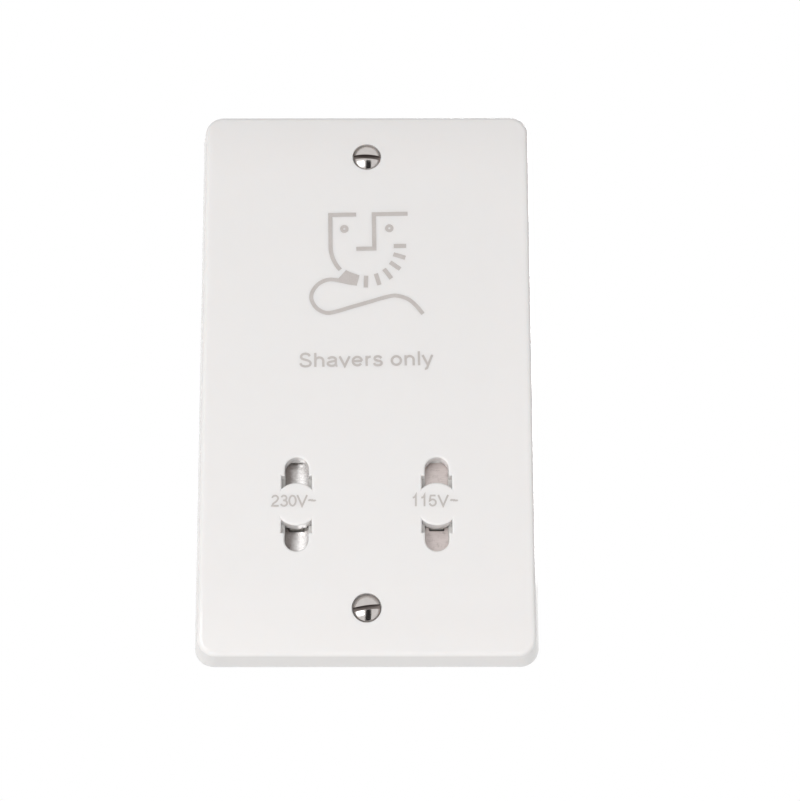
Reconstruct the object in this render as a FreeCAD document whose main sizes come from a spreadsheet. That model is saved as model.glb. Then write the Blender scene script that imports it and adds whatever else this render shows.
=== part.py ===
import FreeCAD, Part
import math
import os
import re
import Sketcher
from FreeCAD import Placement, Rotation, Vector

# Flush shaver socket outlet with two shuttered outlets and its own isolating transformer.
# Frame: +X right, +Z up, the front faces -Y, the origin is the plate's centre on the wall's face.

# Driving sizes, in millimetres and degrees
SIZES = {
    # front plate
    "plate_width": 86.0,
    "plate_height": 146.0,
    "plate_depth": 10.5,
    "face_wall": 2.6,
    "side_wall": 2.2,
    "side_draft": 6.0,
    "rim_corner": 4.8,
    "edge_round": 1.4,
    "end_run": 18.0,
    "end_drop": 1.8,
    # fixing screws
    "fixing_pitch": 120.6,
    "fixing_radius": 1.75,
    "neck_radius": 1.55,
    "fixing_length": 23.0,
    "fixing_clearance": 0.15,
    "recess_gap": 0.25,
    "pillar_wall": 1.1,
    "recess_depth": 2.5,
    "pillar_setback": 0.5,
    "head_radius": 3.45,
    "head_proud": 0.1,
    "head_dome": 1.1,
    "tip_round": 0.6,
    "slot_width": 1.0,
    "slot_depth": 1.5,
    "upper_slot_turn": 2.0,
    "lower_slot_turn": -8.0,
    # outlets and their apertures
    "outlet_offset": 17.6,
    "outlet_drop": 33.6,
    "aperture_reach": 12.2,
    "aperture_radius": 3.0,
    "blade_half_width": 3.8,
    "blade_reach": 7.4,
    "web_radius": 5.55,
    "aperture_depth": 3.9,
    "well_wall": 1.6,
    "lip_round": 0.5,
    # shutter yokes and their metal pads
    "running_gap": 0.3,
    "yoke_depth": 2.4,
    "yoke_corner": 1.2,
    "bar_overlap": 0.2,
    "bar_width": 3.5,
    "pad_recess": 0.3,
    "pad_inset": 0.1,
    "pad_gap": 0.2,
    "pad_tuck": 0.5,
    "pad_tail": 1.5,
    "pad_sheet": 0.6,
    "dish_radius": 5.5,
    "seat_clearance": 0.05,
    "shutter_travel": 12.8,
    "lug_half_height": 2.5,
    "lug_depth": 1.2,
    "lug_overlap": 1.6,
    "stem_length": 3.0,
    "stem_gap": 0.35,
    # return springs
    "spring_radius": 1.9,
    "spring_wire": 0.45,
    "spring_room": 0.25,
    # socket carrier
    "carrier_wall": 2.4,
    "carrier_round": 2.0,
    "carrier_gap": 0.5,
    "carrier_end_gap": 0.8,
    "carrier_margin": 2.1,
    "post_setback": 0.65,
    "cup_wall": 1.15,
    "cup_length": 6.0,
    "cup_floor": 1.4,
    "carrier_screw_reach": 12.0,
    # contact strips
    "contact_sheet": 0.4,
    "contact_half_width": 1.6,
    "crest_proud": 0.15,
    "contact_tab": 2.6,
    # primary switch
    "leaf_sheet": 0.3,
    "leaf_overhang": 1.7,
    "leaf_half_width": 2.5,
    "leaf_block": 2.0,
    "stud_offset": 8.2,
    "stud_radius": 1.2,
    "stud_shank": 0.7,
    "stud_head": 0.7,
    "stud_gap": 1.0,
    "rivet_radius": 0.9,
    "rivet_head": 1.6,
    # rear housing
    "housing_wall": 2.0,
    "housing_floor": 2.4,
    "housing_corner": 4.0,
    "housing_margin": 10.0,
    "shelf_room": 6.0,
    "ear_height": 36.0,
    "ear_margin": 4.2,
    "ear_radius": 3.5,
    "ear_front": 4.0,
    "ear_thickness": 2.0,
    "vent_count": 5,
    "vent_pitch": 6.0,
    "vent_width": 1.6,
    "vent_length": 24.0,
    # small screws
    "small_screw_radius": 1.45,
    "small_head_radius": 2.6,
    "small_head_height": 1.5,
    "small_boss_radius": 2.9,
    "ear_screw_length": 6.3,
    "carrier_screw_length": 6.6,
    # transformer
    "core_stack": 18.0,
    "core_side_room": 4.0,
    "core_room": 14.0,
    "core_headroom": 9.0,
    "coil_front_room": 6.2,
    "coil_back_room": 1.9,
    "coil_clearance": 0.2,
    "bobbin_wall": 1.2,
    "flange_thickness": 1.2,
    "flange_margin": 1.7,
    "winding_round": 4.0,
    "tape_thickness": 0.5,
    "core_screw_radius": 1.5,
    "core_screw_grip": 8.0,
    "core_screw_head": 2.8,
    "core_screw_head_height": 2.0,
    "core_boss_radius": 3.5,
    # thermal cutout
    "cutout_half_width": 6.5,
    "cutout_half_height": 3.5,
    "cutout_depth": 3.6,
    "cutout_round": 1.0,
    # terminals
    "block_depth": 13.0,
    "block_height": 14.0,
    "block_drop": 14.4,
    "block_end_wall": 4.8,
    "block_round": 1.0,
    "terminal_pitch": 14.0,
    "terminal_half_width": 3.2,
    "terminal_depth": 7.0,
    "terminal_height": 8.4,
    "terminal_front": 0.6,
    "terminal_floor": 1.8,
    "terminal_bore": 1.9,
    "terminal_clearance": 0.1,
    "terminal_round": 0.3,
    "tail_gap": 0.8,
    "tail_half_width": 1.5,
    "tail_sheet": 0.8,
    "clamp_screw_radius": 1.7,
    "clamp_head_radius": 2.3,
    "clamp_head_height": 2.0,
    "clamp_head_lift": 1.4,
    "block_well_depth": 7.0,
    "block_boss_length": 4.0,
    # insulated leads and the link between the two lower contacts
    "lead_radius": 0.9,
    "lead_drop": 1.8,
    "lead_deep_drop": 4.3,
    "lead_stand": 3.6,
    "lead_reach": 2.5,
    "lead_turn": 4.0,
    "lead_gap": 1.0,
    "lead_spacing": 1.4,
    "lead_contact": 0.05,
    "link_sheet": 0.5,
    "link_half_height": 1.5,
}

# Places worked out from the driving sizes
PLACES = {
    "face_front": "-plate_depth",
    "face_back": "face_front + face_wall",
    "recess_radius": "head_radius + recess_gap",
    "pillar_radius": "recess_radius + pillar_wall",
    "head_height": "recess_depth + head_proud",
    "housing_half_width": "plate_width / 2 - housing_margin",
    "ear_offset": "plate_width / 2 - side_wall - ear_margin",
    "carrier_half_width": "housing_half_width - housing_wall - carrier_gap",
    "carrier_half_height": "yoke_reach + carrier_margin",
    "housing_bottom": "outlet_height - carrier_half_height - carrier_end_gap - housing_wall",
    "housing_top": "core_top + core_headroom + housing_wall",
    "housing_shelf": "core_bottom - shelf_room - housing_wall",
    "core_width": "2 * (housing_half_width - housing_wall - core_side_room)",
    "core_height": "core_width * 5 / 6",
    "core_leg": "core_width / 3",
    "core_yoke": "core_width / 6",
    "core_bottom": "outlet_height + carrier_half_height + core_room",
    "core_middle": "face_back + coil_front_room + flange_deep",
    "lower_depth": "carrier_back + cup_length + housing_floor",
    "upper_depth": "core_middle + flange_deep + coil_back_room + housing_floor",
    "yoke_half_width": "blade_half_width + well_wall",
    "well_half_height": "yoke_reach + 2 * seat_clearance",
    "bar_start": "aperture_reach - bar_overlap",
    "yoke_reach": "bar_start + bar_width",
    "pad_half_width": "aperture_radius - pad_inset",
    "pad_dish": "dish_radius - sqrt(dish_radius ^ 2 - pad_half_width ^ 2)",
    "pad_depth": "pad_dish + pad_sheet + seat_clearance",
    "post_half_height": "web_radius - post_setback",
    "contact_crest": "web_radius + crest_proud",
    "pad_start": "web_radius - pad_tuck",
    "notch_end": "contact_crest + pad_gap",
    "notch_half_width": "contact_half_width + running_gap",
    "spring_reach": "(bar_start + yoke_reach) / 2",
    "stem_radius": "spring_radius - spring_wire - stem_gap",
    "cup_bore": "spring_radius + spring_room",
    "cup_radius": "cup_bore + cup_wall",
    "leaf_half_length": "stud_offset + leaf_overhang",
    "lug_end": "stud_offset - lug_overlap",
    "end_start": "plate_height / 2 - end_run",
    "end_radius": "(end_run ^ 2 + end_drop ^ 2) / (2 * end_drop)",
    "recess_floor": "face_front + recess_depth",
    "fixing_height": "fixing_pitch / 2",
    "thread_start": "running_gap - pillar_setback",
    "dome_radius": "(head_radius ^ 2 + head_dome ^ 2) / (2 * head_dome)",
    "outlet_height": "-outlet_drop",
    "well_back": "face_front + aperture_depth",
    "yoke_front": "well_back + running_gap",
    "yoke_back": "yoke_front + yoke_depth",
    "pad_front": "yoke_front + pad_recess",
    "pad_back": "pad_front + pad_depth",
    "pad_end": "bar_start + pad_tail",
    "rail_inner": "pad_half_width + seat_clearance",
    "rail_width": "yoke_half_width - rail_inner",
    "carrier_front": "yoke_back + shutter_travel + running_gap",
    "carrier_back": "carrier_front + carrier_wall",
    "post_half_width": "rail_inner - running_gap",
    "post_front": "well_back + running_gap / 1.5",
    "lower_floor": "lower_depth - housing_floor",
    "upper_floor": "upper_depth - housing_floor",
    "cup_seat": "lower_floor - cup_floor",
    "leaf_back": "carrier_front - leaf_lift",
    "leaf_lift": "stud_head + running_gap",
    "leaf_front": "leaf_back - leaf_sheet",
    "housing_front": "face_back",
    "ear_back": "-ear_front + ear_thickness",
    "small_pilot": "small_screw_radius + seat_clearance",
    "core_pilot": "core_screw_radius + seat_clearance",
    "core_front": "core_middle - core_stack / 2",
    "core_back": "core_middle + core_stack / 2",
    "core_top": "core_bottom + core_height",
    "window_bottom": "core_bottom + core_yoke",
    "window_top": "core_top - core_yoke",
    "window_half_width": "core_width / 2 - core_yoke",
    "core_hole_x": "core_width / 2 - core_yoke / 2",
    "core_hole_low": "core_bottom + core_yoke / 2",
    "core_hole_high": "core_top - core_yoke / 2",
    "core_hole_radius": "core_screw_radius + fixing_clearance",
    "tube_wide": "core_leg / 2 + coil_clearance",
    "tube_deep": "core_stack / 2 + coil_clearance",
    "flange_wide": "window_half_width - running_gap",
    "flange_deep": "tube_deep + flange_wide - tube_wide",
    "winding_wide": "flange_wide - flange_margin",
    "winding_deep": "flange_deep - flange_margin",
    "bobbin_bottom": "window_bottom + running_gap",
    "bobbin_top": "window_top - running_gap",
    "bobbin_middle": "(bobbin_bottom + bobbin_top) / 2",
    "tape_front": "core_middle - winding_deep - tape_thickness",
    "tape_side": "winding_wide + tape_thickness + lead_contact",
    "primary_level": "(bobbin_bottom + bobbin_middle) / 2",
    "secondary_level": "(bobbin_middle + bobbin_top) / 2",
    "cutout_side": "cutout_half_width + lead_contact",
    "lead_plane": "carrier_back + lead_drop",
    "lead_deep_plane": "carrier_back + lead_deep_drop",
    "lead_rise": "core_front - lead_stand",
    "lead_face": "tape_front - lead_reach",
    "turn_low": "outlet_height + carrier_half_height + lead_turn",
    "turn_high": "core_bottom - lead_turn",
    "tab_high": "outlet_height + post_half_height + contact_sheet / 2",
    "tab_low": "outlet_height - post_half_height - contact_sheet / 2",
    "tab_inner": "outlet_offset - contact_half_width - lead_contact",
    "tab_outer": "outlet_offset + contact_half_width + lead_contact",
    "inner_channel": "outlet_offset - cup_radius - lead_radius - lead_gap",
    "outer_channel": "outlet_offset + cup_radius + lead_radius + lead_gap",
    "side_channel": "flange_wide + lead_radius + lead_gap",
    "far_channel": "side_channel + 2 * lead_radius + lead_spacing",
    "cutout_channel": "cutout_half_width + lead_turn",
    "block_half_width": "terminal_pitch + terminal_half_width + block_end_wall",
    "block_bottom": "outlet_height - block_drop",
    "block_top": "block_bottom + block_height",
    "block_middle": "block_bottom + block_height / 2",
    "clamp_well_radius": "clamp_head_radius + running_gap",
    "block_well_radius": "small_head_radius + fixing_clearance",
    "entry_radius": "terminal_bore + running_gap",
    "block_back": "lower_depth + block_depth",
    "terminal_start": "lower_depth + terminal_front",
    "terminal_back": "terminal_start + terminal_depth",
    "terminal_bottom": "block_bottom + terminal_floor",
    "terminal_top": "terminal_bottom + terminal_height",
    "terminal_level": "terminal_bottom + terminal_height / 2",
    "terminal_axis": "terminal_start + terminal_depth / 2",
}

doc = FreeCAD.newDocument("shaver_socket")
sheet = doc.addObject("Spreadsheet::Sheet", "dims")
for row, (alias, number) in enumerate(SIZES.items(), start=1):
    sheet.set(f"A{row}", alias)
    sheet.set(f"B{row}", str(number))
    sheet.setAlias(f"B{row}", alias)
doc.recompute()
nodes = []


def expand(text):
    # Sheet names become cell references, and worked-out places become their own formula.
    def swap(match):
        word = match.group(0)
        if word in PLACES:
            return f"({expand(PLACES[word])})"
        return f"dims.{word}" if word in SIZES else word
    return re.sub(r"[a-z]\w*", swap, str(text))


def value(text):
    return float(sheet.evalExpression(expand(text)))


def bind(item, **texts):
    for prop, text in texts.items():
        item.setExpression(prop, expand(text))


def place(item, x, y, z):
    for axis, text in zip("xyz", (x, y, z)):
        item.setExpression(f"Placement.Base.{axis}", expand(text))


def node(item, label):
    item.Label = label
    nodes.append(item)
    return item


def block(x, y, z):
    # A box between low and high places along each axis.
    item = doc.addObject("Part::Box", "block")
    bind(item, Length=f"({x[1]}) - ({x[0]})", Width=f"({y[1]}) - ({y[0]})", Height=f"({z[1]}) - ({z[0]})")
    place(item, x[0], y[0], z[0])
    return item


def centred(x, half_width, y, z, half_height):
    # A box about a centre line that runs along Y.
    return block((f"{x} - ({half_width})", f"{x} + {half_width}"), y,
                 (f"{z} - ({half_height})", f"{z} + {half_height}"))


def rod(radius, x, y, z):
    # A cylinder along Y, from the first place in y to the second.
    item = doc.addObject("Part::Cylinder", "rod")
    item.Placement = Placement(Vector(), Rotation(Vector(1, 0, 0), -90))
    bind(item, Radius=radius, Height=f"({y[1]}) - ({y[0]})")
    place(item, x, y[0], z)
    return item


def upright(radius, x, y, z):
    # A cylinder along Z, from the first place in z to the second.
    item = doc.addObject("Part::Cylinder", "upright")
    bind(item, Radius=radius, Height=f"({z[1]}) - ({z[0]})")
    place(item, x, y, z[0])
    return item


def fuse(*items):
    item = doc.addObject("Part::MultiFuse", "fuse")
    item.Shapes = list(items)
    item.Refine = True
    return item


def cut(base, *tools):
    item = doc.addObject("Part::Cut", "cut")
    item.Base = base
    item.Tool = tools[0] if len(tools) == 1 else fuse(*tools)
    item.Refine = True
    return item


def common(first, second):
    item = doc.addObject("Part::MultiCommon", "common")
    item.Shapes = [first, second]
    item.Refine = True
    return item


def group(items):
    item = doc.addObject("Part::Compound", "group")
    item.Links = list(items)
    return item


def rounded(base, radius, chosen):
    # A fillet on the edges whose middle point and direction the test chooses.
    doc.recompute()
    item = doc.addObject("Part::Fillet", "rounded")
    item.Base = base
    size = value(radius)
    picked = []
    for number, edge in enumerate(base.Shape.Edges, start=1):
        middle = edge.valueAt((edge.FirstParameter + edge.LastParameter) / 2)
        ends = edge.valueAt(edge.LastParameter) - edge.valueAt(edge.FirstParameter)
        if chosen(middle, ends):
            picked.append((number, size, size))
    item.Edges = picked
    return item


def along(axis):
    # True for a straight edge that runs along one axis.
    def chosen(middle, ends):
        lengths = {"x": abs(ends.x), "y": abs(ends.y), "z": abs(ends.z)}
        return lengths[axis] > 0.99 * ends.Length > 0
    return chosen


def sketch(body, role, points, offset="0"):
    # A closed outline on one of the body's own origin planes, each corner bound to the sheet.
    plane = next(feature for feature in body.Origin.OriginFeatures if feature.Role == role)
    item = body.newObject("Sketcher::SketchObject", "outline")
    item.AttachmentSupport = [(plane, "")]
    item.MapMode = "FlatFace"
    item.setExpression("AttachmentOffset.Base.z", expand(offset))
    spots = [Vector(value(across), value(up), 0) for across, up in points]
    for start, end in zip(spots, spots[1:] + spots[:1]):
        item.addGeometry(Part.LineSegment(start, end))
    for number, point in enumerate(points):
        following = (number + 1) % len(points)
        item.addConstraint(Sketcher.Constraint("Coincident", number, 2, following, 1))
        for kind, text in zip(("DistanceX", "DistanceY"), point):
            index = item.addConstraint(Sketcher.Constraint(kind, -1, 1, number, 1, value(text)))
            item.setExpression(f"Constraints[{index}]", expand(text))
    return item


def rectangle(half_width, half_height):
    return [(f"-({half_width})", f"-({half_height})"), (half_width, f"-({half_height})"),
            (half_width, half_height), (f"-({half_width})", half_height)]


def pad(label, role, points, length, offset="0", taper="0", midplane=False):
    # A body padded from one outline.
    body = doc.addObject("PartDesign::Body", label)
    outline = sketch(body, role, points, offset)
    item = body.newObject("PartDesign::Pad", "pad")
    item.Profile = outline
    item.Midplane = midplane
    bind(item, Length=length, TaperAngle=taper)
    body.Tip = item
    return body


def screw(x, z, seat, tip, way, radius, head_radius, head_height, slot=True):
    # A pan-head screw along Y whose head lies on the seat, in front of it (way -1) or behind it (way 1).
    far = f"{seat} + {way} * {head_height}"
    low, high = (far, seat) if way < 0 else (seat, far)
    head = rod(head_radius, x, (low, high), z)
    top = value(far)
    soft = rounded(head, f"{head_height} / 3", lambda middle, ends: abs(middle.y - top) < 0.001)
    shank = rod(radius, x, (seat, tip) if way < 0 else (tip, seat), z)
    whole = fuse(soft, shank)
    if not slot:
        return whole
    deep = f"{head_height} * 0.45"
    groove = ((far, f"{far} + {deep}") if way < 0 else (f"{far} - {deep}", far))
    return cut(whole, centred(x, head_radius, groove, z, "slot_width / 3"))


def outlets():
    # Name and side of each outlet: 230 V on the left, 115 V on the right.
    return (("230v", -1), ("115v", 1))


def plate_shell():
    outer = pad("plate_outline", "XZ_Plane", rectangle("plate_width / 2", "plate_height / 2"),
                "plate_depth", taper="-side_draft")
    soft = rounded(outer, "rim_corner", lambda middle, ends: abs(ends.y) > 0.9 * ends.Length)
    wide = "plate_width"
    flat = block((f"-{wide}", wide), ("face_front", "0"), ("-end_start", "end_start"))
    ends = [flat]
    for way in (-1, 1):
        barrel = doc.addObject("Part::Cylinder", "end_curve")
        barrel.Placement = Placement(Vector(), Rotation(Vector(0, 1, 0), 90))
        bind(barrel, Radius="end_radius", Height=f"2 * {wide}")
        place(barrel, f"-{wide}", "face_front + end_radius", f"{way} * end_start")
        ends.append(barrel)
    curved = common(soft, fuse(*ends))
    side = value("plate_width / 2 - 4 * edge_round")
    end = value("plate_height / 2 - 4 * edge_round")
    front = value("face_front + end_drop + 0.2")
    return rounded(curved, "edge_round", lambda middle, ends: middle.y < front
                   and (abs(middle.x) > side or abs(middle.z) > end))


def plate_cavity():
    inner = pad("cavity_outline", "XZ_Plane",
                rectangle("plate_width / 2 - side_wall", "plate_height / 2 - side_wall"),
                "plate_depth - face_wall", taper="-side_draft")
    return rounded(inner, "rim_corner - side_wall", lambda middle, ends: abs(ends.y) > 0.9 * ends.Length)


def aperture(side, way):
    # One pin hole: a round-ended slot with a wider blade slot, closed by the round web at the centre.
    x = f"{side} * outlet_offset"
    depth = ("face_front - face_wall", "well_back + face_wall")
    near, far = "web_radius / 2", "aperture_reach - aperture_radius"
    def span(half_width, reach):
        ends = (f"outlet_height + {near}", f"outlet_height + {reach}")
        if way < 0:
            ends = (f"outlet_height - ({reach})", f"outlet_height - {near}")
        return block((f"{x} - {half_width}", f"{x} + {half_width}"), depth, ends)
    slot = fuse(span("aperture_radius", far), span("blade_half_width", "blade_reach"),
                rod("aperture_radius", x, depth, f"outlet_height + {way} * ({far})"))
    return cut(slot, rod("web_radius", x, depth, "outlet_height"))


def front_plate():
    shell = cut(plate_shell(), plate_cavity())
    extras, holes = [shell], []
    for way in (-1, 1):
        z = f"{way} * fixing_height"
        extras.append(rod("pillar_radius", "0", ("face_back - face_wall / 3", "-pillar_setback"), z))
        holes.append(rod("fixing_radius + fixing_clearance", "0", ("face_front", "0"), z))
        holes.append(rod("recess_radius", "0", ("face_front - face_wall", "recess_floor"), z))
    for name, side in outlets():
        x = f"{side} * outlet_offset"
        well = centred(x, "yoke_half_width", ("face_back - face_wall / 3", "well_back"),
                       "outlet_height", "well_half_height")
        extras.append(rounded(well, "carrier_round", along("y")))
        holes += [aperture(side, way) for way in (-1, 1)]
    for x, z in ear_places():
        extras.append(rod("ear_radius", x, ("face_back - face_wall / 3", "-ear_front"), z))
        holes.append(rod("small_pilot", x, ("face_front + face_wall / 2", "0"), z))
    whole = cut(fuse(*extras), *holes)
    front, reach = value("face_front"), value("aperture_reach")
    centre, offset = value("outlet_height"), value("outlet_offset")
    def lip(middle, ends):
        return (abs(middle.y - front) < 0.001 and abs(middle.z - centre) < reach + 0.1
                and abs(abs(middle.x) - offset) < reach)
    return node(rounded(whole, "lip_round", lip), "front_plate")


def plate_screw(label, way, turn):
    # Raised head with a domed top, seated on the floor of its recess, on a neck thinner than its thread.
    head = rod("head_radius", "0", ("recess_floor - head_height", "recess_floor"), "0")
    dome = doc.addObject("Part::Sphere", "dome")
    dome.Placement = Placement(Vector(), Rotation(Vector(1, 0, 0), -90))
    bind(dome, Radius="dome_radius")
    place(dome, "0", "recess_floor - head_height + dome_radius", "0")
    neck = rod("neck_radius", "0", ("recess_floor - slot_depth", "thread_start + tip_round"), "0")
    thread = rod("fixing_radius", "0", ("thread_start", "recess_floor + fixing_length"), "0")
    end = value("recess_floor + fixing_length")
    tip = rounded(thread, "tip_round", lambda middle, ends: abs(middle.y - end) < 0.001)
    top = "recess_floor - head_height"
    slot = centred("0", "head_radius", (top, f"{top} + slot_depth"), "0", "slot_width / 2")
    whole = cut(fuse(common(head, dome), neck, tip), slot)
    whole.Placement = Placement(Vector(), Rotation(Vector(0, 1, 0), 1))
    whole.setExpression("Placement.Rotation.Angle", expand(turn))
    place(whole, "0", "0", f"{way} * fixing_height")
    return node(whole, label)


def ear_places():
    return [(f"{side} * ear_offset", f"{way} * ear_height") for side in (-1, 1) for way in (-1, 1)]


def core_places():
    return [(f"{side} * core_hole_x", z) for side in (-1, 1) for z in ("core_hole_low", "core_hole_high")]


def carrier_places():
    return [("0", f"outlet_height + {way} * carrier_screw_reach") for way in (-1, 1)]


def block_places():
    return [(f"{side} * terminal_pitch / 2", "block_middle") for side in (-1, 1)]


def rear_housing():
    # A stepped box, open at the front: shallow behind the outlets, deep behind the transformer.
    def profile(wall, front, low, high):
        return [(front, f"housing_bottom + {wall}"), (low, f"housing_bottom + {wall}"),
                (low, f"housing_shelf + {wall}"), (high, f"housing_shelf + {wall}"),
                (high, f"housing_top - {wall}"), (front, f"housing_top - {wall}")]
    outer = pad("housing_outline", "YZ_Plane", profile("0", "housing_front", "lower_depth", "upper_depth"),
                "2 * housing_half_width", midplane=True)
    soft = rounded(outer, "housing_corner", along("y"))
    inner = pad("housing_hollow", "YZ_Plane",
                profile("housing_wall", "housing_front - housing_wall", "lower_floor", "upper_floor"),
                "2 * (housing_half_width - housing_wall)", midplane=True)
    hollow = rounded(inner, "housing_corner - housing_wall", along("y"))
    extras, holes = [cut(soft, hollow)], []
    for x, z in ear_places():
        side = "1" if value(x) > 0 else "-1"
        arm = ((f"{side} * ear_offset", f"{side} * (housing_half_width - housing_wall / 2)"))
        reach = arm if value(arm[0]) < value(arm[1]) else arm[::-1]
        span = ("-ear_front", "ear_back")
        extras.append(rod("ear_radius", x, span, z))
        extras.append(block(reach, span, (f"{z} - ear_radius", f"{z} + ear_radius")))
        holes.append(rod("small_screw_radius + fixing_clearance", x, ("-ear_front", "ear_back"), z))
    for x, z in core_places():
        extras.append(rod("core_boss_radius", x, ("core_back", "upper_floor + housing_floor / 2"), z))
        holes.append(rod("core_pilot", x, ("core_back", "core_back + core_screw_grip + running_gap"), z))
    for x, z in carrier_places():
        extras.append(rod("small_boss_radius", x, ("carrier_back", "lower_floor + housing_floor / 2"), z))
        holes.append(rod("small_pilot", x, ("carrier_back", "lower_floor"), z))
    for x, z in block_places():
        extras.append(rod("small_boss_radius", x, ("lower_floor - block_boss_length",
                                                   "lower_floor + housing_floor / 2"), z))
        holes.append(rod("small_pilot", x, ("lower_floor - block_boss_length / 2", "lower_depth"), z))
    for number in (-1, 0, 1):
        holes.append(centred(f"{number} * terminal_pitch", "tail_half_width + terminal_clearance",
                             ("lower_floor - 1", "lower_depth"), "terminal_level",
                             "tail_sheet / 2 + terminal_clearance"))
    for number in range(int(value("vent_count"))):
        middle = f"(core_bottom + core_top) / 2 + ({number} - (vent_count - 1) / 2) * vent_pitch"
        holes.append(block(("-vent_length / 2", "vent_length / 2"), ("upper_floor", "upper_depth"),
                           (f"{middle} - vent_width / 2", f"{middle} + vent_width / 2")))
    return node(cut(fuse(*extras), *holes), "rear_housing")


def housing_screws():
    screws = [screw(x, z, "ear_back", "ear_back - ear_screw_length", 1, "small_screw_radius",
                    "small_head_radius", "small_head_height") for x, z in ear_places()]
    return node(group(screws), "housing_screws")


def socket_carrier():
    base = rounded(centred("0", "carrier_half_width", ("carrier_front", "carrier_back"),
                           "outlet_height", "carrier_half_height"), "carrier_round", along("y"))
    extras, holes = [base], []
    for name, side in outlets():
        x = f"{side} * outlet_offset"
        extras.append(centred(x, "post_half_width", ("post_front", "carrier_back - carrier_wall / 2"),
                              "outlet_height", "post_half_height"))
        for way in (-1, 1):
            z = f"outlet_height + {way} * spring_reach"
            extras.append(rod("cup_radius", x, ("carrier_back - carrier_wall / 2", "lower_floor"), z))
            holes.append(rod("cup_bore", x, ("carrier_front", "cup_seat"), z))
            slot = f"outlet_height + {way} * (post_half_height + contact_sheet / 2)"
            holes.append(centred(x, "contact_half_width + seat_clearance", ("carrier_front", "carrier_back"),
                                 slot, "contact_sheet / 2 + seat_clearance"))
    extras.append(centred("0", "leaf_block", ("leaf_back", "carrier_back - carrier_wall / 2"),
                          "outlet_height", "leaf_half_width"))
    holes.append(rod("rivet_radius + seat_clearance", "0", ("leaf_back", "carrier_back"), "outlet_height"))
    for side in (-1, 1):
        holes.append(rod("stud_shank + seat_clearance", f"{side} * stud_offset",
                         ("carrier_front", "carrier_back"), "outlet_height"))
    for x, z in carrier_places():
        holes.append(rod("small_screw_radius + fixing_clearance", x, ("carrier_front", "carrier_back"), z))
    return node(cut(fuse(*extras), *holes), "socket_carrier")


def carrier_screws():
    screws = [screw(x, z, "carrier_front", "carrier_front + carrier_screw_length", -1, "small_screw_radius",
                    "small_head_radius", "small_head_height") for x, z in carrier_places()]
    return node(group(screws), "carrier_screws")


def shutter_yoke(name, side):
    # An open frame round the post, with a bar at each end that holds a pad and meets a spring.
    x = f"{side} * outlet_offset"
    depth = ("yoke_front", "yoke_back")
    frame = rounded(centred(x, "yoke_half_width", depth, "outlet_height", "yoke_reach"),
                    "yoke_corner", along("y"))
    window = centred(x, "rail_inner", depth, "outlet_height", "bar_start")
    reach = (f"{side} * (outlet_offset - yoke_half_width + rail_width / 2)", f"{side} * lug_end")
    lug = block(reach if side < 0 else reach[::-1], ("yoke_front", "yoke_front + lug_depth"),
                ("outlet_height - lug_half_height", "outlet_height + lug_half_height"))
    extras, holes = [cut(frame, window), lug], []
    for way in (-1, 1):
        z = f"outlet_height + {way} * spring_reach"
        extras.append(rod("stem_radius", x, ("yoke_back - yoke_depth / 4", "yoke_back + stem_length"), z))
        ends = [f"outlet_height + {way} * (bar_start - bar_overlap)",
                f"outlet_height + {way} * (pad_end + seat_clearance)"]
        wide = (f"{x} - rail_inner", f"{x} + rail_inner")
        holes.append(block(wide, ("pad_front", "pad_back"), ends if way > 0 else ends[::-1]))
    return node(cut(fuse(*extras), *holes), f"shutter_yoke_{name}")


def shutter_pads(name, side):
    # Two metal strips, each held in the yoke by its outer end and notched at the other to pass a contact.
    x = f"{side} * outlet_offset"
    span = (f"{x} - pad_half_width", f"{x} + pad_half_width")
    wide = (f"{x} - notch_half_width", f"{x} + notch_half_width")
    strips = []
    for way in (-1, 1):
        ends = [f"outlet_height + {way} * pad_start", f"outlet_height + {way} * pad_end"]
        z = ends if way > 0 else ends[::-1]
        if name == "115v":
            strip = block(span, ("pad_front", "pad_front + pad_sheet"), z)
        else:
            axis = "pad_front - sqrt(dish_radius ^ 2 - pad_half_width ^ 2)"
            ring = cut(upright("dish_radius + pad_sheet", x, axis, z), upright("dish_radius", x, axis, z))
            strip = common(ring, block(span, ("pad_front", "pad_back"), z))
        sides = [f"outlet_height + {way} * post_half_height", f"outlet_height + {way} * notch_end"]
        notch = block(wide, ("yoke_front", "pad_back"), sides if way > 0 else sides[::-1])
        strips.append(cut(strip, notch))
    return node(group(strips), f"shutter_pads_{name}")


def shutter_springs(name, side):
    # Each spring's outer shape, from the yoke's bar to the bottom of its cup.
    x = f"{side} * outlet_offset"
    coils = []
    for way in (-1, 1):
        z = f"outlet_height + {way} * spring_reach"
        depth = ("yoke_back", "cup_seat")
        coils.append(cut(rod("spring_radius", x, depth, z), rod("spring_radius - spring_wire", x, depth, z)))
    return node(group(coils), f"shutter_springs_{name}")


def contact(name, side, place_name, way):
    # A strip that stands on the post and bows out towards the pin, with its tab through the carrier.
    foot, crest = "post_half_height", "contact_crest - contact_sheet"
    path = [("carrier_back + contact_tab", foot), ("pad_back + shutter_travel - 2 * carrier_wall", foot),
            ("pad_back + 3 * carrier_wall", crest), ("pad_back + carrier_wall", crest),
            ("pad_front + running_gap", foot)]
    outer = [(y, f"outlet_height + {way} * ({z} + contact_sheet)") for y, z in path]
    inner = [(y, f"outlet_height + {way} * ({z})") for y, z in reversed(path)]
    body = pad(f"contact_{name}_{place_name}", "YZ_Plane", outer + inner, "2 * contact_half_width",
               offset=f"{side} * outlet_offset", midplane=True)
    return node(body, f"contact_{name}_{place_name}")


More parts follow.
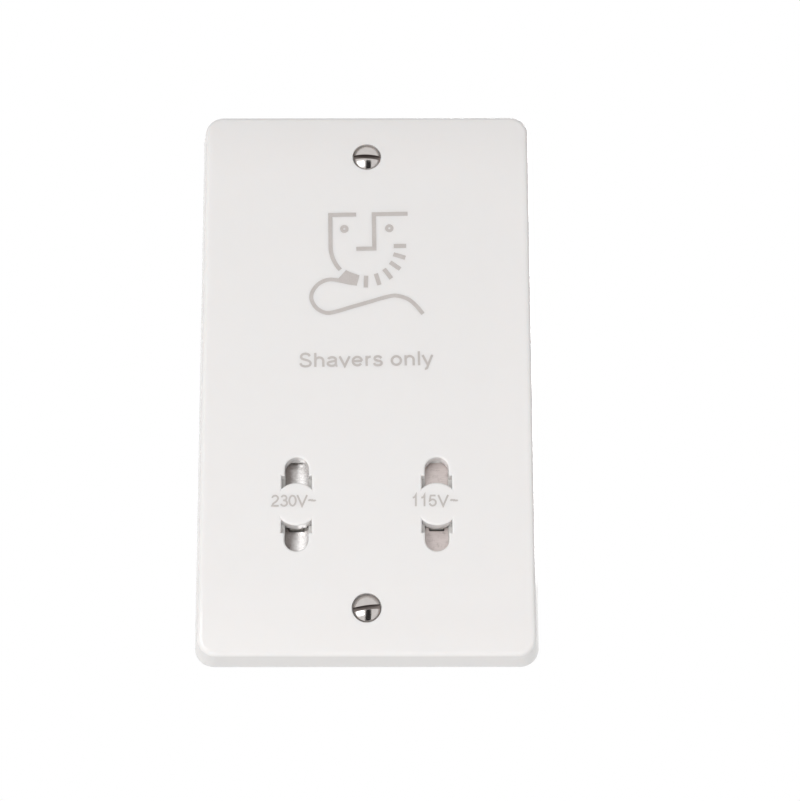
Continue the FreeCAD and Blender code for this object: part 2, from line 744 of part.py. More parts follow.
def primary_switch():
    # A leaf that either yoke's lug bends down to the stud under it.
    leaf = centred("0", "leaf_half_length", ("leaf_front", "leaf_back"), "outlet_height", "leaf_half_width")
    soft = rounded(leaf, "leaf_half_width / 3", along("y"))
    hole = rod("rivet_radius + seat_clearance", "0", ("leaf_front", "leaf_back"), "outlet_height")
    node(cut(soft, hole), "switch_leaf")
    studs = []
    for side in (-1, 1):
        x = f"{side} * stud_offset"
        cap = rod("stud_radius", x, ("carrier_front - stud_head", "carrier_front"), "outlet_height")
        studs.append(fuse(cap, rod("stud_shank", x, ("carrier_front", "lower_floor - stud_gap"),
                                   "outlet_height")))
    node(group(studs), "switch_studs")
    head = rod("rivet_head", "0", ("leaf_front - stud_head", "leaf_front"), "outlet_height")
    top = value("leaf_front - stud_head")
    soft_head = rounded(head, "stud_head / 2", lambda middle, ends: abs(middle.y - top) < 0.001)
    shank = rod("rivet_radius", "0", ("leaf_front", "carrier_back"), "outlet_height")
    tail = rod("rivet_head", "0", ("carrier_back", "carrier_back + stud_head"), "outlet_height")
    node(fuse(soft_head, shank, tail), "switch_rivet")


def transformer_core():
    # E stack with its three legs up, closed by the I stack across their ends.
    span = ("core_front", "core_back")
    half = "core_width / 2"
    yoke = block((f"-{half}", half), span, ("core_bottom", "window_bottom"))
    legs = [block(("-core_leg / 2", "core_leg / 2"), span, ("window_bottom", "window_top"))]
    legs += [block((f"-{half}", "-window_half_width"), span, ("window_bottom", "window_top")),
             block(("window_half_width", half), span, ("window_bottom", "window_top"))]
    bar = block((f"-{half}", half), span, ("window_top", "core_top"))
    holes = {"core_hole_low": [], "core_hole_high": []}
    for x, z in core_places():
        holes[z].append(rod("core_hole_radius", x, span, z))
    node(cut(fuse(yoke, *legs), *holes["core_hole_low"]), "core_e_stack")
    node(cut(bar, *holes["core_hole_high"]), "core_i_stack")


def ring(wide, deep, z, corner=None, grow="0"):
    # A solid round the core's middle leg, to be hollowed by another.
    body = block((f"-({wide} + {grow})", f"{wide} + {grow}"),
                 (f"core_middle - ({deep} + {grow})", f"core_middle + {deep} + {grow}"), z)
    return rounded(body, f"{corner} + {grow}", along("z")) if corner else body


def transformer_coil():
    # A two-chamber bobbin with the primary below and the secondary above.
    tube = ring("tube_wide", "tube_deep", ("bobbin_bottom", "bobbin_top"), grow="bobbin_wall")
    levels = [("bobbin_bottom", "bobbin_bottom + flange_thickness"),
              ("bobbin_middle - flange_thickness / 2", "bobbin_middle + flange_thickness / 2"),
              ("bobbin_top - flange_thickness", "bobbin_top")]
    flanges = [ring("flange_wide", "flange_deep", level, "flange_thickness") for level in levels]
    bore = ring("tube_wide", "tube_deep", ("bobbin_bottom", "bobbin_top"))
    node(cut(fuse(tube, *flanges), bore), "bobbin")
    tapes = []
    for label, low, high in (("primary_winding", levels[0][1], levels[1][0]),
                             ("secondary_winding", levels[1][1], levels[2][0])):
        level = (low, high)
        coil = ring("winding_wide", "winding_deep", level, "winding_round")
        node(cut(coil, ring("tube_wide", "tube_deep", level, grow="bobbin_wall")), label)
        tapes.append(cut(ring("winding_wide", "winding_deep", level, "winding_round", "tape_thickness"),
                         ring("winding_wide", "winding_deep", level, "winding_round")))
    node(group(tapes), "winding_tape")


def core_screws():
    screws = [screw(x, z, "core_front", "core_back + core_screw_grip", -1, "core_screw_radius",
                    "core_screw_head", "core_screw_head_height") for x, z in core_places()]
    return node(group(screws), "core_screws")


def thermal_cutout():
    middle = "(bobbin_middle + bobbin_top) / 2"
    case = centred("0", "cutout_half_width", ("tape_front - cutout_depth", "tape_front"),
                   middle, "cutout_half_height")
    front = value("tape_front - cutout_depth")
    return node(rounded(case, "cutout_round", lambda spot, ends: spot.y < front + 0.001), "thermal_cutout")


def terminal_block():
    # A moulded block behind the outlets, with a wire entry below and a clamp screw behind each terminal.
    case = rounded(block(("-block_half_width", "block_half_width"), ("lower_depth", "block_back"),
                         ("block_bottom", "block_top")), "block_round", along("y"))
    holes = []
    for number in (-1, 0, 1):
        x = f"{number} * terminal_pitch"
        holes.append(block((f"{x} - terminal_half_width - terminal_clearance",
                            f"{x} + terminal_half_width + terminal_clearance"),
                           ("lower_depth", "terminal_back + terminal_clearance"),
                           ("terminal_bottom - terminal_clearance", "terminal_top + terminal_clearance")))
        holes.append(upright("entry_radius", x, "terminal_axis", ("block_bottom", "terminal_bottom")))
        holes.append(rod("clamp_well_radius", x, ("terminal_back", "block_back"), "terminal_level"))
    for x, z in block_places():
        holes.append(rod("small_screw_radius + fixing_clearance", x, ("lower_depth", "block_back"), z))
        holes.append(rod("block_well_radius", x, ("block_back - block_well_depth", "block_back"), z))
    return node(cut(case, *holes), "terminal_block")


def terminal(label, number):
    # A brass body with its wire bore from below, its tapped hole behind and its tail through the housing.
    x = f"{number} * terminal_pitch"
    brass = block((f"{x} - terminal_half_width", f"{x} + terminal_half_width"),
                  ("terminal_start", "terminal_back"), ("terminal_bottom", "terminal_top"))
    soft = rounded(brass, "terminal_round", along("z"))
    tail = centred(x, "tail_half_width", ("carrier_back + tail_gap", "terminal_start + tail_sheet"),
                   "terminal_level", "tail_sheet / 2")
    bore = upright("terminal_bore", x, "terminal_axis", ("terminal_bottom", "terminal_top - terminal_floor"))
    tapped = "clamp_screw_radius + seat_clearance"
    thread = rod(tapped, x, ("terminal_axis", "terminal_back"), "terminal_level")
    return node(cut(fuse(soft, tail), bore, thread), label)


def clamp_screws():
    seat = "terminal_back + clamp_head_lift"
    tip = "terminal_axis + terminal_bore / 2"
    screws = [screw(f"{number} * terminal_pitch", "terminal_level", seat, tip, 1, "clamp_screw_radius",
                    "clamp_head_radius", "clamp_head_height") for number in (-1, 0, 1)]
    return node(group(screws), "clamp_screws")


def block_screws():
    tip = "lower_floor - block_boss_length / 2 + running_gap"
    screws = [screw(x, z, "block_back - block_well_depth", tip, 1, "small_screw_radius",
                    "small_head_radius", "small_head_height") for x, z in block_places()]
    return node(group(screws), "block_screws")


def lead(label, *stops):
    # A round lead: straight runs between the stops, joined by arcs as large as the runs allow.
    spots = [Vector(*(value(text) for text in stop)) for stop in stops]
    edges, start = [], spots[0]
    for before, corner, after in zip(spots, spots[1:], spots[2:]):
        back, ahead = before - corner, after - corner
        turn = math.pi - back.getAngle(ahead)
        reach = 0.45 * min(back.Length, ahead.Length)
        radius = reach / math.tan(turn / 2)
        back.normalize()
        ahead.normalize()
        inward = (back + ahead).normalize()
        middle = corner + inward * (radius / math.cos(turn / 2) - radius)
        edges.append(Part.LineSegment(start, corner + back * reach).toShape())
        edges.append(Part.Arc(corner + back * reach, middle, corner + ahead * reach).toShape())
        start = corner + ahead * reach
    edges.append(Part.LineSegment(start, spots[-1]).toShape())
    path = Part.Wire(edges)
    section = Part.Wire([Part.makeCircle(value("lead_radius"), spots[0], spots[1] - spots[0])])
    item = doc.addObject("Part::Feature", label)
    item.Shape = path.makePipeShell([section], True, True)
    return node(item, label)


def leads():
    # Supply side: terminals, switch, cutout and primary.
    live = "-terminal_pitch"
    level = "terminal_level + tail_sheet / 2 + lead_contact"
    lead("lead_live", (live, "lead_deep_plane", level), (live, "lead_deep_plane", "outlet_height"),
         ("-stud_offset - stud_shank - lead_contact", "lead_deep_plane", "outlet_height"))
    lead("lead_switched", ("stud_offset", "lead_plane", "outlet_height + stud_shank + lead_contact"),
         ("stud_offset", "lead_plane", "turn_low"), ("stud_offset", "lead_face", "turn_high"),
         ("stud_offset + lead_turn", "lead_face", "primary_level"),
         ("stud_offset + lead_turn", "lead_face", "secondary_level"),
         ("cutout_side", "lead_face", "secondary_level"))
    lead("lead_cutout", ("-cutout_channel", "tape_front - lead_contact", "primary_level"),
         ("-cutout_channel", "lead_face", "primary_level"),
         ("-cutout_channel", "lead_face", "secondary_level"),
         ("-cutout_side", "lead_face", "secondary_level"))
    lead("lead_neutral", ("terminal_pitch + tail_half_width + lead_contact", "lead_plane", "terminal_level"),
         ("outer_channel", "lead_plane", "terminal_level"), ("outer_channel", "lead_plane", "turn_low"),
         ("far_channel", "lead_rise", "turn_high"), ("far_channel", "lead_rise", "primary_level"),
         ("tape_side", "lead_rise", "primary_level"))
    # Outlet side: secondary and contacts.
    high, low = "secondary_level + lead_drop", "secondary_level - lead_drop"
    lead("lead_230v", ("-tape_side", "lead_rise", high), ("-far_channel", "lead_rise", high),
         ("-far_channel", "lead_rise", "turn_high"), ("-outer_channel", "lead_plane", "turn_low"),
         ("-outer_channel", "lead_plane", "tab_high"), ("-tab_outer", "lead_plane", "tab_high"))
    lead("lead_common", ("-tape_side", "lead_rise", low), ("-side_channel", "lead_rise", low),
         ("-side_channel", "lead_rise", "turn_high"), ("-inner_channel", "lead_plane", "turn_low"),
         ("-inner_channel", "lead_plane", "tab_low"), ("-tab_inner", "lead_plane", "tab_low"))
    lead("lead_115v", ("tape_side", "lead_rise", high), ("side_channel", "lead_rise", high),
         ("side_channel", "lead_rise - lead_stand", "bobbin_middle"),
         ("side_channel", "lead_rise - lead_stand", "turn_high"),
         ("inner_channel", "lead_plane", "turn_low"),
         ("inner_channel", "lead_plane", "tab_high"), ("tab_inner", "lead_plane", "tab_high"))


def common_link():
    # A strip behind the carrier that joins the two lower contacts.
    return node(block(("-tab_inner", "tab_inner"), ("carrier_back", "carrier_back + link_sheet"),
                      ("tab_low - link_half_height", "tab_low + link_half_height")), "common_link")


def check_and_write():
    doc.recompute()
    for item in doc.Objects:
        if {"Invalid", "Error"} & set(item.State):
            raise RuntimeError(f"{item.Label} failed: {item.State}")
    for item in nodes:
        if item.Shape.isNull() or not item.Shape.isValid():
            raise RuntimeError(f"{item.Label} has no valid shape")
    os.makedirs("parts", exist_ok=True)
    for item in nodes:
        item.Shape.exportStep(f"parts/{item.Label}.step")
        print(item.Label, len(item.Shape.Solids), round(item.Shape.Volume, 2))


front_plate()
plate_screw("plate_screw_upper", 1, "upper_slot_turn")
plate_screw("plate_screw_lower", -1, "lower_slot_turn")
rear_housing()
housing_screws()
socket_carrier()
carrier_screws()
for outlet, side in outlets():
    shutter_yoke(outlet, side)
    shutter_pads(outlet, side)
    shutter_springs(outlet, side)
    contact(outlet, side, "upper", 1)
    contact(outlet, side, "lower", -1)
primary_switch()
transformer_core()
transformer_coil()
core_screws()
thermal_cutout()
terminal_block()
terminal("terminal_live", -1)
terminal("terminal_neutral", 1)
terminal("terminal_earth", 0)
clamp_screws()
block_screws()
leads()
common_link()
check_and_write()
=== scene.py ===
import math
import bpy
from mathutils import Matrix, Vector


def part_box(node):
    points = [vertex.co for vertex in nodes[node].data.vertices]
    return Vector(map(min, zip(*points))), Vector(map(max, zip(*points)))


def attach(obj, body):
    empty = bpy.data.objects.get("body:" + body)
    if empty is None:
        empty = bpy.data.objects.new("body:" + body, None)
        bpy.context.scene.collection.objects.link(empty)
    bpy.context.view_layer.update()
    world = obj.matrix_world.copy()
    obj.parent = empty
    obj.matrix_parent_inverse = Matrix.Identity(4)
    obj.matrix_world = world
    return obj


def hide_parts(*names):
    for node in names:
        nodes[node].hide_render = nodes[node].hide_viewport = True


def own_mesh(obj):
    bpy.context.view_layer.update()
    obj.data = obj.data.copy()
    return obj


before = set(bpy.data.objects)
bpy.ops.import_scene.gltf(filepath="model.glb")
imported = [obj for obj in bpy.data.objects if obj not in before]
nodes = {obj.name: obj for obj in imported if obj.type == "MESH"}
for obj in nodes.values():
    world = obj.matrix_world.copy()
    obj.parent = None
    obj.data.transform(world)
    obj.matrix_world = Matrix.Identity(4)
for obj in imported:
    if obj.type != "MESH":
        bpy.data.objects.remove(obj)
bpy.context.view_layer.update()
print("frame: loaded")

mm = 0.001
finest = 0.001 * mm                                  # points nearer than this are one


class Amount:                                        # a shader socket that takes part in plain arithmetic
    def __init__(self, paint, socket):
        self.paint = paint
        self.socket = socket

    def __add__(self, other):
        return self.paint.maths("ADD", self, other)

    def __radd__(self, other):
        return self.paint.maths("ADD", other, self)

    def __sub__(self, other):
        return self.paint.maths("SUBTRACT", self, other)

    def __rsub__(self, other):
        return self.paint.maths("SUBTRACT", other, self)

    def __mul__(self, other):
        return self.paint.maths("MULTIPLY", self, other)

    def __rmul__(self, other):
        return self.paint.maths("MULTIPLY", other, self)


class Paint:                                         # one material, built node by node
    def __init__(self, name):
        self.material = bpy.data.materials.new(name)
        self.material.use_nodes = True
        self.tree = self.material.node_tree
        self.shader = self.tree.nodes["Principled BSDF"]
        self.place = self.add("ShaderNodeTexCoord", out="Object")

    def add(self, kind, settings=None, sockets=None, out=0):
        node = self.tree.nodes.new(kind)
        for name, value in (settings or {}).items():
            setattr(node, name, value)
        for name, value in (sockets or {}).items():
            if isinstance(value, Amount):
                self.tree.links.new(value.socket, node.inputs[name])
            else:
                node.inputs[name].default_value = value
        return Amount(self, node.outputs[out])

    def maths(self, operation, first, second=0.0):
        return self.add("ShaderNodeMath", {"operation": operation}, {0: first, 1: second})

    def along(self, axis, place=None):
        return self.add("ShaderNodeSeparateXYZ", None, {0: place or self.place}, out="xyz".index(axis))

    def mapped(self, stretch=(1, 1, 1), turn=(0, 0, 0), origin=(0, 0, 0)):
        # the object's own coordinates moved to origin, then turned and stretched
        moved = self.add("ShaderNodeVectorMath", {"operation": "SUBTRACT"}, {0: self.place, 1: origin})
        return self.add("ShaderNodeMapping", None, {"Vector": moved, "Scale": stretch, "Rotation": turn})

    def noise(self, scale, detail=2.0, roughness=0.5, where=None):
        return self.add("ShaderNodeTexNoise", None, {
            "Vector": where or self.place, "Scale": scale, "Detail": detail, "Roughness": roughness})

    def step(self, amount, low, high, start=0.0, end=1.0):
        # a smooth rise from start to end as amount goes from low to high
        return self.add("ShaderNodeMapRange", {"interpolation_type": "SMOOTHSTEP"}, {
            "Value": amount, "From Min": low, "From Max": high, "To Min": start, "To Max": end})

    def mix(self, amount, first, second):
        return self.add("ShaderNodeMix", {"data_type": "RGBA"}, {0: amount, 6: first, 7: second}, out=2)

    def bump(self, height, depth, strength=1.0, onto=None):
        sockets = {"Height": height, "Distance": depth, "Strength": strength}
        if onto:
            sockets["Normal"] = onto
        return self.add("ShaderNodeBump", None, sockets)

    def finish(self, **sockets):
        names = {"colour": "Base Color", "roughness": "Roughness", "metal": "Metallic", "normal": "Normal",
                 "coat": "Coat Weight", "ior": "IOR", "scatter": "Subsurface Weight",
                 "scatterRadius": "Subsurface Radius", "scatterDepth": "Subsurface Scale"}
        for name, value in sockets.items():
            socket = self.shader.inputs[names[name]]
            if isinstance(value, Amount):
                self.tree.links.new(value.socket, socket)
            else:
                socket.default_value = value
        return self.material


def rgb(red, green, blue):
    return (red, green, blue, 1)


def shaded(colour, amount):
    return tuple(part * amount for part in colour[:3]) + (1,)


# materials: sizes and depths are in metres, scales and stretches in spots to a metre

plateFinish = {
    "colour": rgb(0.868, 0.849, 0.84), "roughness": 0.2, "flowSize": 0.03, "flowDepth": 0.00002,
    "grainSize": 0.0006, "grainDepth": 0.0000012, "hazeScale": 220, "hazeTone": 0.992, "hazeGloss": 0.06,
    "scatter": 0.5, "scatterRadius": (1.0, 0.93, 0.88), "scatterDepth": 0.0014, "ior": 1.5,
}


def platePlastic():                                  # moulded urea: glossy, with a faint flow in its shine
    kit = plateFinish
    paint = Paint("platePlastic")
    flow = paint.noise(1 / kit["flowSize"], 2)
    grain = paint.noise(1 / kit["grainSize"], 3)
    haze = paint.noise(kit["hazeScale"], 4, 0.6)
    colour = paint.mix(haze, shaded(kit["colour"], kit["hazeTone"]), kit["colour"])
    waved = paint.bump(flow, kit["flowDepth"])
    return paint.finish(colour=colour, roughness=kit["roughness"] + (haze - 0.5) * kit["hazeGloss"],
                        normal=paint.bump(grain, kit["grainDepth"], onto=waved), ior=kit["ior"],
                        scatter=kit["scatter"], scatterRadius=kit["scatterRadius"],
                        scatterDepth=kit["scatterDepth"])


printFinish = {
    "colour": rgb(0.53, 0.485, 0.465), "thin": rgb(0.59, 0.55, 0.53), "roughness": 0.45,
    "speckSize": 0.00025, "speckGloss": 0.15, "speckDepth": 0.000003, "coverScale": 300,
}


def padPrint():                                      # pad-printed ink, a little uneven and matt
    kit = printFinish
    paint = Paint("padPrint")
    speck = paint.noise(1 / kit["speckSize"], 3, 0.6)
    cover = paint.noise(kit["coverScale"], 2)
    colour = paint.mix(paint.step(speck * 0.6 + cover * 0.4, 0.35, 0.65), kit["colour"], kit["thin"])
    return paint.finish(colour=colour, roughness=kit["roughness"] + speck * kit["speckGloss"],
                        normal=paint.bump(speck, kit["speckDepth"]))


nickelFinish = {
    "colour": rgb(0.64, 0.605, 0.585), "tone": rgb(0.52, 0.49, 0.475), "roughness": 0.11,
    "cloudScale": 900, "fineScale": 9000, "scuffStretch": (900, 900, 5200), "scuffDepth": 0.000003,
    # the last three set the painted shade inside the slot: its colour, cover and soft edge
    "slotDark": rgb(0.13, 0.1, 0.09), "slotDarkCover": 0.8, "slotDarkEdge": 0.00012,
}


def nickelPlate(name="nickelPlate", middle=(0, 0, 0), turn=0.0, slot=0.0):
    # bright plating over a turned head, with painted shade inside its slot
    kit = nickelFinish
    paint = Paint(name)
    cloud = paint.noise(kit["cloudScale"], 3, 0.55)
    fine = paint.noise(kit["fineScale"], 3, 0.6)
    streaks = paint.noise(1, 4, 0.65, where=paint.mapped(stretch=kit["scuffStretch"]))
    scuff = paint.step(streaks, 0.55, 0.8)
    colour = paint.mix(cloud, kit["tone"], kit["colour"])
    level = paint.along("z", paint.mapped(turn=(0, turn, 0), origin=middle))
    # painted shade: the colour turned dark inside the slot
    inside = paint.step(paint.maths("ABSOLUTE", level), slot / 2, slot / 2 + kit["slotDarkEdge"], 1.0, 0.0)
    colour = paint.mix(inside * kit["slotDarkCover"], colour, kit["slotDark"])
    return paint.finish(colour=colour, metal=1.0,
                        roughness=kit["roughness"] + cloud * 0.05 + scuff * 0.1 + inside * 0.3,
                        normal=paint.bump(fine * 0.5 + scuff, kit["scuffDepth"]))


padFinish = {
    # the 230 V pads carry a painted shade down their left side
    "230v": {"colour": rgb(0.9, 0.885, 0.875), "scuffed": rgb(0.62, 0.58, 0.57), "roughness": 0.2,
             "paintedShade": rgb(0.12, 0.095, 0.085), "paintedShadeEnds": (-0.0023, 0.0012)},
    "115v": {"colour": rgb(0.72, 0.65, 0.63), "scuffed": rgb(0.54, 0.48, 0.46), "roughness": 0.42},
}
padTexture = {
    "lineStretch": (1500, 9000, 9000), "lineTurn": 0.12, "crossStretch": (450, 700, 6000), "crossTurn": 0.3,
    # the next three set the painted shade's grain, its wandering edge and how dark it gets
    "patchScale": 700, "depth": 0.000006, "paintedShadeScale": 900, "paintedShadeWander": 0.002, "paintedShadeCover": 0.85,
    "speckScale": 2600, "speckReach": 0.001,
}


def padMetal(name):                                  # pressed strip: rolling lines, and scuffs left by pins
    kit, texture = padFinish[name], padTexture
    paint = Paint("padMetal" + name)
    rolled = paint.mapped(stretch=texture["lineStretch"], turn=(0, texture["lineTurn"], 0))
    lines = paint.noise(1, 4, 0.6, where=rolled)
    slanted = paint.mapped(stretch=texture["crossStretch"], turn=(0, texture["crossTurn"], 0))
    cross = paint.step(paint.noise(1, 3, 0.6, where=slanted), 0.35, 0.65)
    patch = paint.step(paint.noise(texture["patchScale"], 4, 0.65), 0.5, 0.72)
    colour = paint.mix(patch * 0.6 + cross * 0.4, kit["colour"], kit["scuffed"])
    rough = kit["roughness"] + lines * 0.12 + patch * 0.16
    if "paintedShade" in kit:                             # painted shade down its left side: brown, dark and dull, with dark specks
        low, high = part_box("shutter_pads_" + name)
        left, right = ((low.x + high.x) / 2 + end for end in kit["paintedShadeEnds"])
        across = paint.along("x")
        cloud = (paint.noise(texture["paintedShadeScale"], 4, 0.6) - 0.5) * texture["paintedShadeWander"]
        paintedDark = paint.step(across + cloud, left, right, texture["paintedShadeCover"], 0.0)
        dots = paint.step(paint.noise(texture["speckScale"], 3, 0.6), 0.6, 0.68)
        speck = dots * paint.step(across, left, right + texture["speckReach"], 1.0, 0.0)
        colour = paint.mix(paint.maths("MAXIMUM", paintedDark, speck), colour, kit["paintedShade"])
        rough = rough + paintedDark * 0.12
    return paint.finish(colour=colour, metal=1.0, roughness=rough,
                        normal=paint.bump(lines * 0.6 + cross * 0.4, texture["depth"]))


mouldings = {
    "housing": {"colour": rgb(0.62, 0.62, 0.6), "roughness": 0.5, "grain": 0.0005, "depth": 0.00003},
    "carrier": {"colour": rgb(0.72, 0.7, 0.66), "roughness": 0.45, "grain": 0.0004, "depth": 0.00001},
    "yoke": {"colour": rgb(0.83, 0.82, 0.8), "roughness": 0.34, "grain": 0.0006, "depth": 0.00001},
    "bobbin": {"colour": rgb(0.72, 0.68, 0.55), "roughness": 0.38, "grain": 0.0008, "depth": 0.000008},
    "cutout": {"colour": rgb(0.05, 0.05, 0.055), "roughness": 0.35, "grain": 0.0005, "depth": 0.000008},
    "block": {"colour": rgb(0.78, 0.77, 0.73), "roughness": 0.34, "grain": 0.0007, "depth": 0.000008},
}
mouldingTexture = {"cloudScale": 90, "tones": (0.9, 1.06), "grainGloss": 0.14}


def moulding(name):                                  # moulded parts that aren't on show, with a tool's grain
    kit, texture = mouldings[name], mouldingTexture
    paint = Paint(name + "Moulding")
    grain = paint.noise(1 / kit["grain"], 3, 0.6)
    cloud = paint.noise(texture["cloudScale"], 3)
    dark, light = (shaded(kit["colour"], tone) for tone in texture["tones"])
    colour = paint.mix(cloud * 0.7 + grain * 0.3, dark, light)
    return paint.finish(colour=colour, roughness=kit["roughness"] + (grain - 0.5) * texture["grainGloss"],
                        normal=paint.bump(grain, kit["depth"]))


metals = {
    "zinc": {"colour": rgb(0.62, 0.63, 0.62), "tone": rgb(0.5, 0.49, 0.43), "roughness": 0.34},
    "brass": {"colour": rgb(0.76, 0.58, 0.3), "tone": rgb(0.6, 0.42, 0.2), "roughness": 0.28},
    "spring": {"colour": rgb(0.56, 0.56, 0.57), "tone": rgb(0.4, 0.4, 0.41), "roughness": 0.3},
    "strip": {"colour": rgb(0.8, 0.78, 0.74), "tone": rgb(0.68, 0.65, 0.61), "roughness": 0.46, "metal": 0.6},
}
metalTexture = {"cloudScale": 260, "cloudGloss": 0.16, "lineStretch": (6000, 700, 6000), "depth": 0.000006}


def sheetMetal(name):                                # plated, rolled or drawn metal with its own fine lines
    kit, texture = metals[name], metalTexture
    paint = Paint(name + "Metal")
    cloud = paint.noise(texture["cloudScale"], 4, 0.6)
    lines = paint.noise(1, 3, 0.6, where=paint.mapped(stretch=texture["lineStretch"]))
    colour = paint.mix(paint.step(cloud, 0.35, 0.7), kit["colour"], kit["tone"])
    return paint.finish(colour=colour, metal=kit.get("metal", 1.0),
                        roughness=kit["roughness"] + cloud * texture["cloudGloss"],
                        normal=paint.bump(lines, texture["depth"]))


stackFinish = {
    "sheet": 0.0005, "steel": rgb(0.2, 0.2, 0.21), "varnish": rgb(0.09, 0.06, 0.04),
    "edge": 0.28, "rustScale": 500, "depth": 0.00006,
}


def laminations():                                   # thin varnished sheets, stacked front to back
    kit = stackFinish
    paint = Paint("laminations")
    saw = paint.maths("PINGPONG", paint.along("y"), kit["sheet"] / 2) * (2 / kit["sheet"])
    gap = paint.step(saw, 0.0, kit["edge"])
    rust = paint.noise(kit["rustScale"], 4, 0.65)
    colour = paint.mix(gap * (0.55 + rust * 0.45), kit["varnish"], kit["steel"])
    return paint.finish(colour=colour, metal=0.35 + gap * 0.3, roughness=0.5 - gap * 0.12,
                        normal=paint.bump(gap, kit["depth"]))


windingFinish = {
    # crown is the wire's own colour; gap is painted shade between the turns
    "turn": 0.00035, "crown": rgb(0.66, 0.3, 0.14), "gap": rgb(0.16, 0.05, 0.02),
    "wanderScale": 160, "wander": 0.0002, "depth": 0.00012,
}


def windingWire():                                   # enamelled turns, laid side by side up the bobbin, with painted shade between the turns
    kit = windingFinish
    paint = Paint("windingWire")
    wander = paint.noise(kit["wanderScale"], 2) * kit["wander"]
    saw = paint.maths("PINGPONG", paint.along("z") + wander, kit["turn"] / 2) * (2 / kit["turn"])
    crown = paint.step(saw, 0.0, 0.8)
    # painted shade in the creases between the turns, lighter on their crowns
    colour = paint.mix(crown, kit["gap"], kit["crown"])
    return paint.finish(colour=colour, metal=0.7, roughness=0.3, coat=0.5,
                        normal=paint.bump(crown, kit["depth"]))


tapeFinish = {
    "colour": rgb(0.86, 0.62, 0.12), "deep": rgb(0.7, 0.42, 0.06), "lap": 0.006,
    "creaseStretch": (260, 260, 900), "depth": 0.00008,
}


def windingTape():                                   # polyester tape, with its overlapping edges
    kit = tapeFinish
    paint = Paint("windingTape")
    saw = paint.maths("PINGPONG", paint.along("z"), kit["lap"] / 2) * (2 / kit["lap"])
    edge = paint.step(saw, 0.02, 0.08)
    crease = paint.noise(1, 4, 0.6, where=paint.mapped(stretch=kit["creaseStretch"]))
    colour = paint.mix(edge * (0.7 + crease * 0.3), kit["deep"], kit["colour"])
    return paint.finish(colour=colour, roughness=0.18 + crease * 0.14, coat=0.3,
                        normal=paint.bump(edge * 0.4 + crease * 0.6, kit["depth"]))


sleeves = {
    "brown": rgb(0.16, 0.055, 0.02), "blue": rgb(0.03, 0.11, 0.5),
    "red": rgb(0.55, 0.03, 0.025), "white": rgb(0.82, 0.81, 0.78),
}
sleeveTexture = {"dirtScale": 500, "dirtTone": 0.8, "fineScale": 2600, "depth": 0.00001, "roughness": 0.36}


def leadSleeve(name):                                # soft PVC: dull where it was gripped, shiny elsewhere
    colour, texture = sleeves[name], sleeveTexture
    paint = Paint(name + "Sleeve")
    dirt = paint.noise(texture["dirtScale"], 4, 0.6)
    fine = paint.noise(texture["fineScale"], 2)
    tone = paint.mix(paint.step(dirt, 0.4, 0.75), colour, shaded(colour, texture["dirtTone"]))
    return paint.finish(colour=tone, roughness=texture["roughness"] + dirt * 0.16,
                        normal=paint.bump(fine, texture["depth"]))


def dress(paint, *names):
    for name in names:
        slots = nodes[name].data.materials
        slots.clear()
        slots.append(paint)


plate = platePlastic()
ink = padPrint()
spring = sheetMetal("spring")
coreSteel = laminations()

dress(plate, "front_plate")
dress(moulding("housing"), "rear_housing")
dress(moulding("carrier"), "socket_carrier")
dress(moulding("yoke"), "shutter_yoke_230v", "shutter_yoke_115v")
dress(moulding("bobbin"), "bobbin")
dress(moulding("cutout"), "thermal_cutout")
dress(moulding("block"), "terminal_block")
dress(padMetal("230v"), "shutter_pads_230v")
dress(padMetal("115v"), "shutter_pads_115v")
dress(nickelPlate(), "plate_screw_upper", "plate_screw_lower")
dress(spring, "shutter_springs_230v", "shutter_springs_115v")
dress(sheetMetal("zinc"), "housing_screws", "carrier_screws", "core_screws", "clamp_screws", "block_screws")
dress(sheetMetal("strip"), "contact_230v_upper", "contact_230v_lower", "contact_115v_upper",
      "contact_115v_lower", "switch_leaf", "switch_studs", "switch_rivet", "common_link")
dress(sheetMetal("brass"), "terminal_live", "terminal_neutral", "terminal_earth")
dress(coreSteel, "core_e_stack", "core_i_stack")
dress(windingWire(), "primary_winding", "secondary_winding")
dress(windingTape(), "winding_tape")
dress(leadSleeve("brown"), "lead_live", "lead_switched")
dress(leadSleeve("blue"), "lead_neutral")
dress(leadSleeve("red"), "lead_230v", "lead_115v")
dress(leadSleeve("white"), "lead_common", "lead_cutout")
print("materials: done")


# tools for new pieces

def clear():
    bpy.ops.object.select_all(action="DESELECT")


def pick(*pieces):
    clear()
    for piece in pieces:
        piece.select_set(True)
    bpy.context.view_layer.objects.active = pieces[0]


def settle(piece):                                   # its place, turn and size go into its mesh
    pick(piece)
    bpy.ops.object.transform_apply(location=True, rotation=True, scale=True)


def applyAll(piece):
    pick(piece)
    for modifier in list(piece.modifiers):
        bpy.ops.object.modifier_apply(modifier=modifier.name)


def weld(piece):                                     # merges doubles and turns every face outwards
    pick(piece)
    bpy.ops.object.mode_set(mode="EDIT")
    bpy.ops.mesh.select_all(action="SELECT")
    bpy.ops.mesh.remove_doubles(threshold=finest)
    bpy.ops.mesh.normals_make_consistent(inside=False)
    bpy.ops.object.mode_set(mode="OBJECT")


def joined(name, pieces):
    pick(*pieces)
    if len(pieces) > 1:
        bpy.ops.object.join()
    piece = bpy.context.object
    piece.name = piece.data.name = name
    return piece


def hand(piece, body, paint):                  # rides a body and takes one finish
    piece.data.materials.clear()
    piece.data.materials.append(paint)
    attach(piece, body)


# print on the plate: each mark is a stroke of one width along a centre line, drawn in mm on the plate's face

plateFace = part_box("front_plate")[0].y
inkLayer = {"thickness": 0.03, "proud": 0.01, "lift": 0.0015, "levels": 4}


def arc(x, y, width, height, start, end, step=12):
    count = max(2, round(abs(end - start) / step))
    turns = [math.radians(start + (end - start) * index / count) for index in range(count + 1)]
    return [(x + width * math.cos(turn), y + height * math.sin(turn)) for turn in turns]


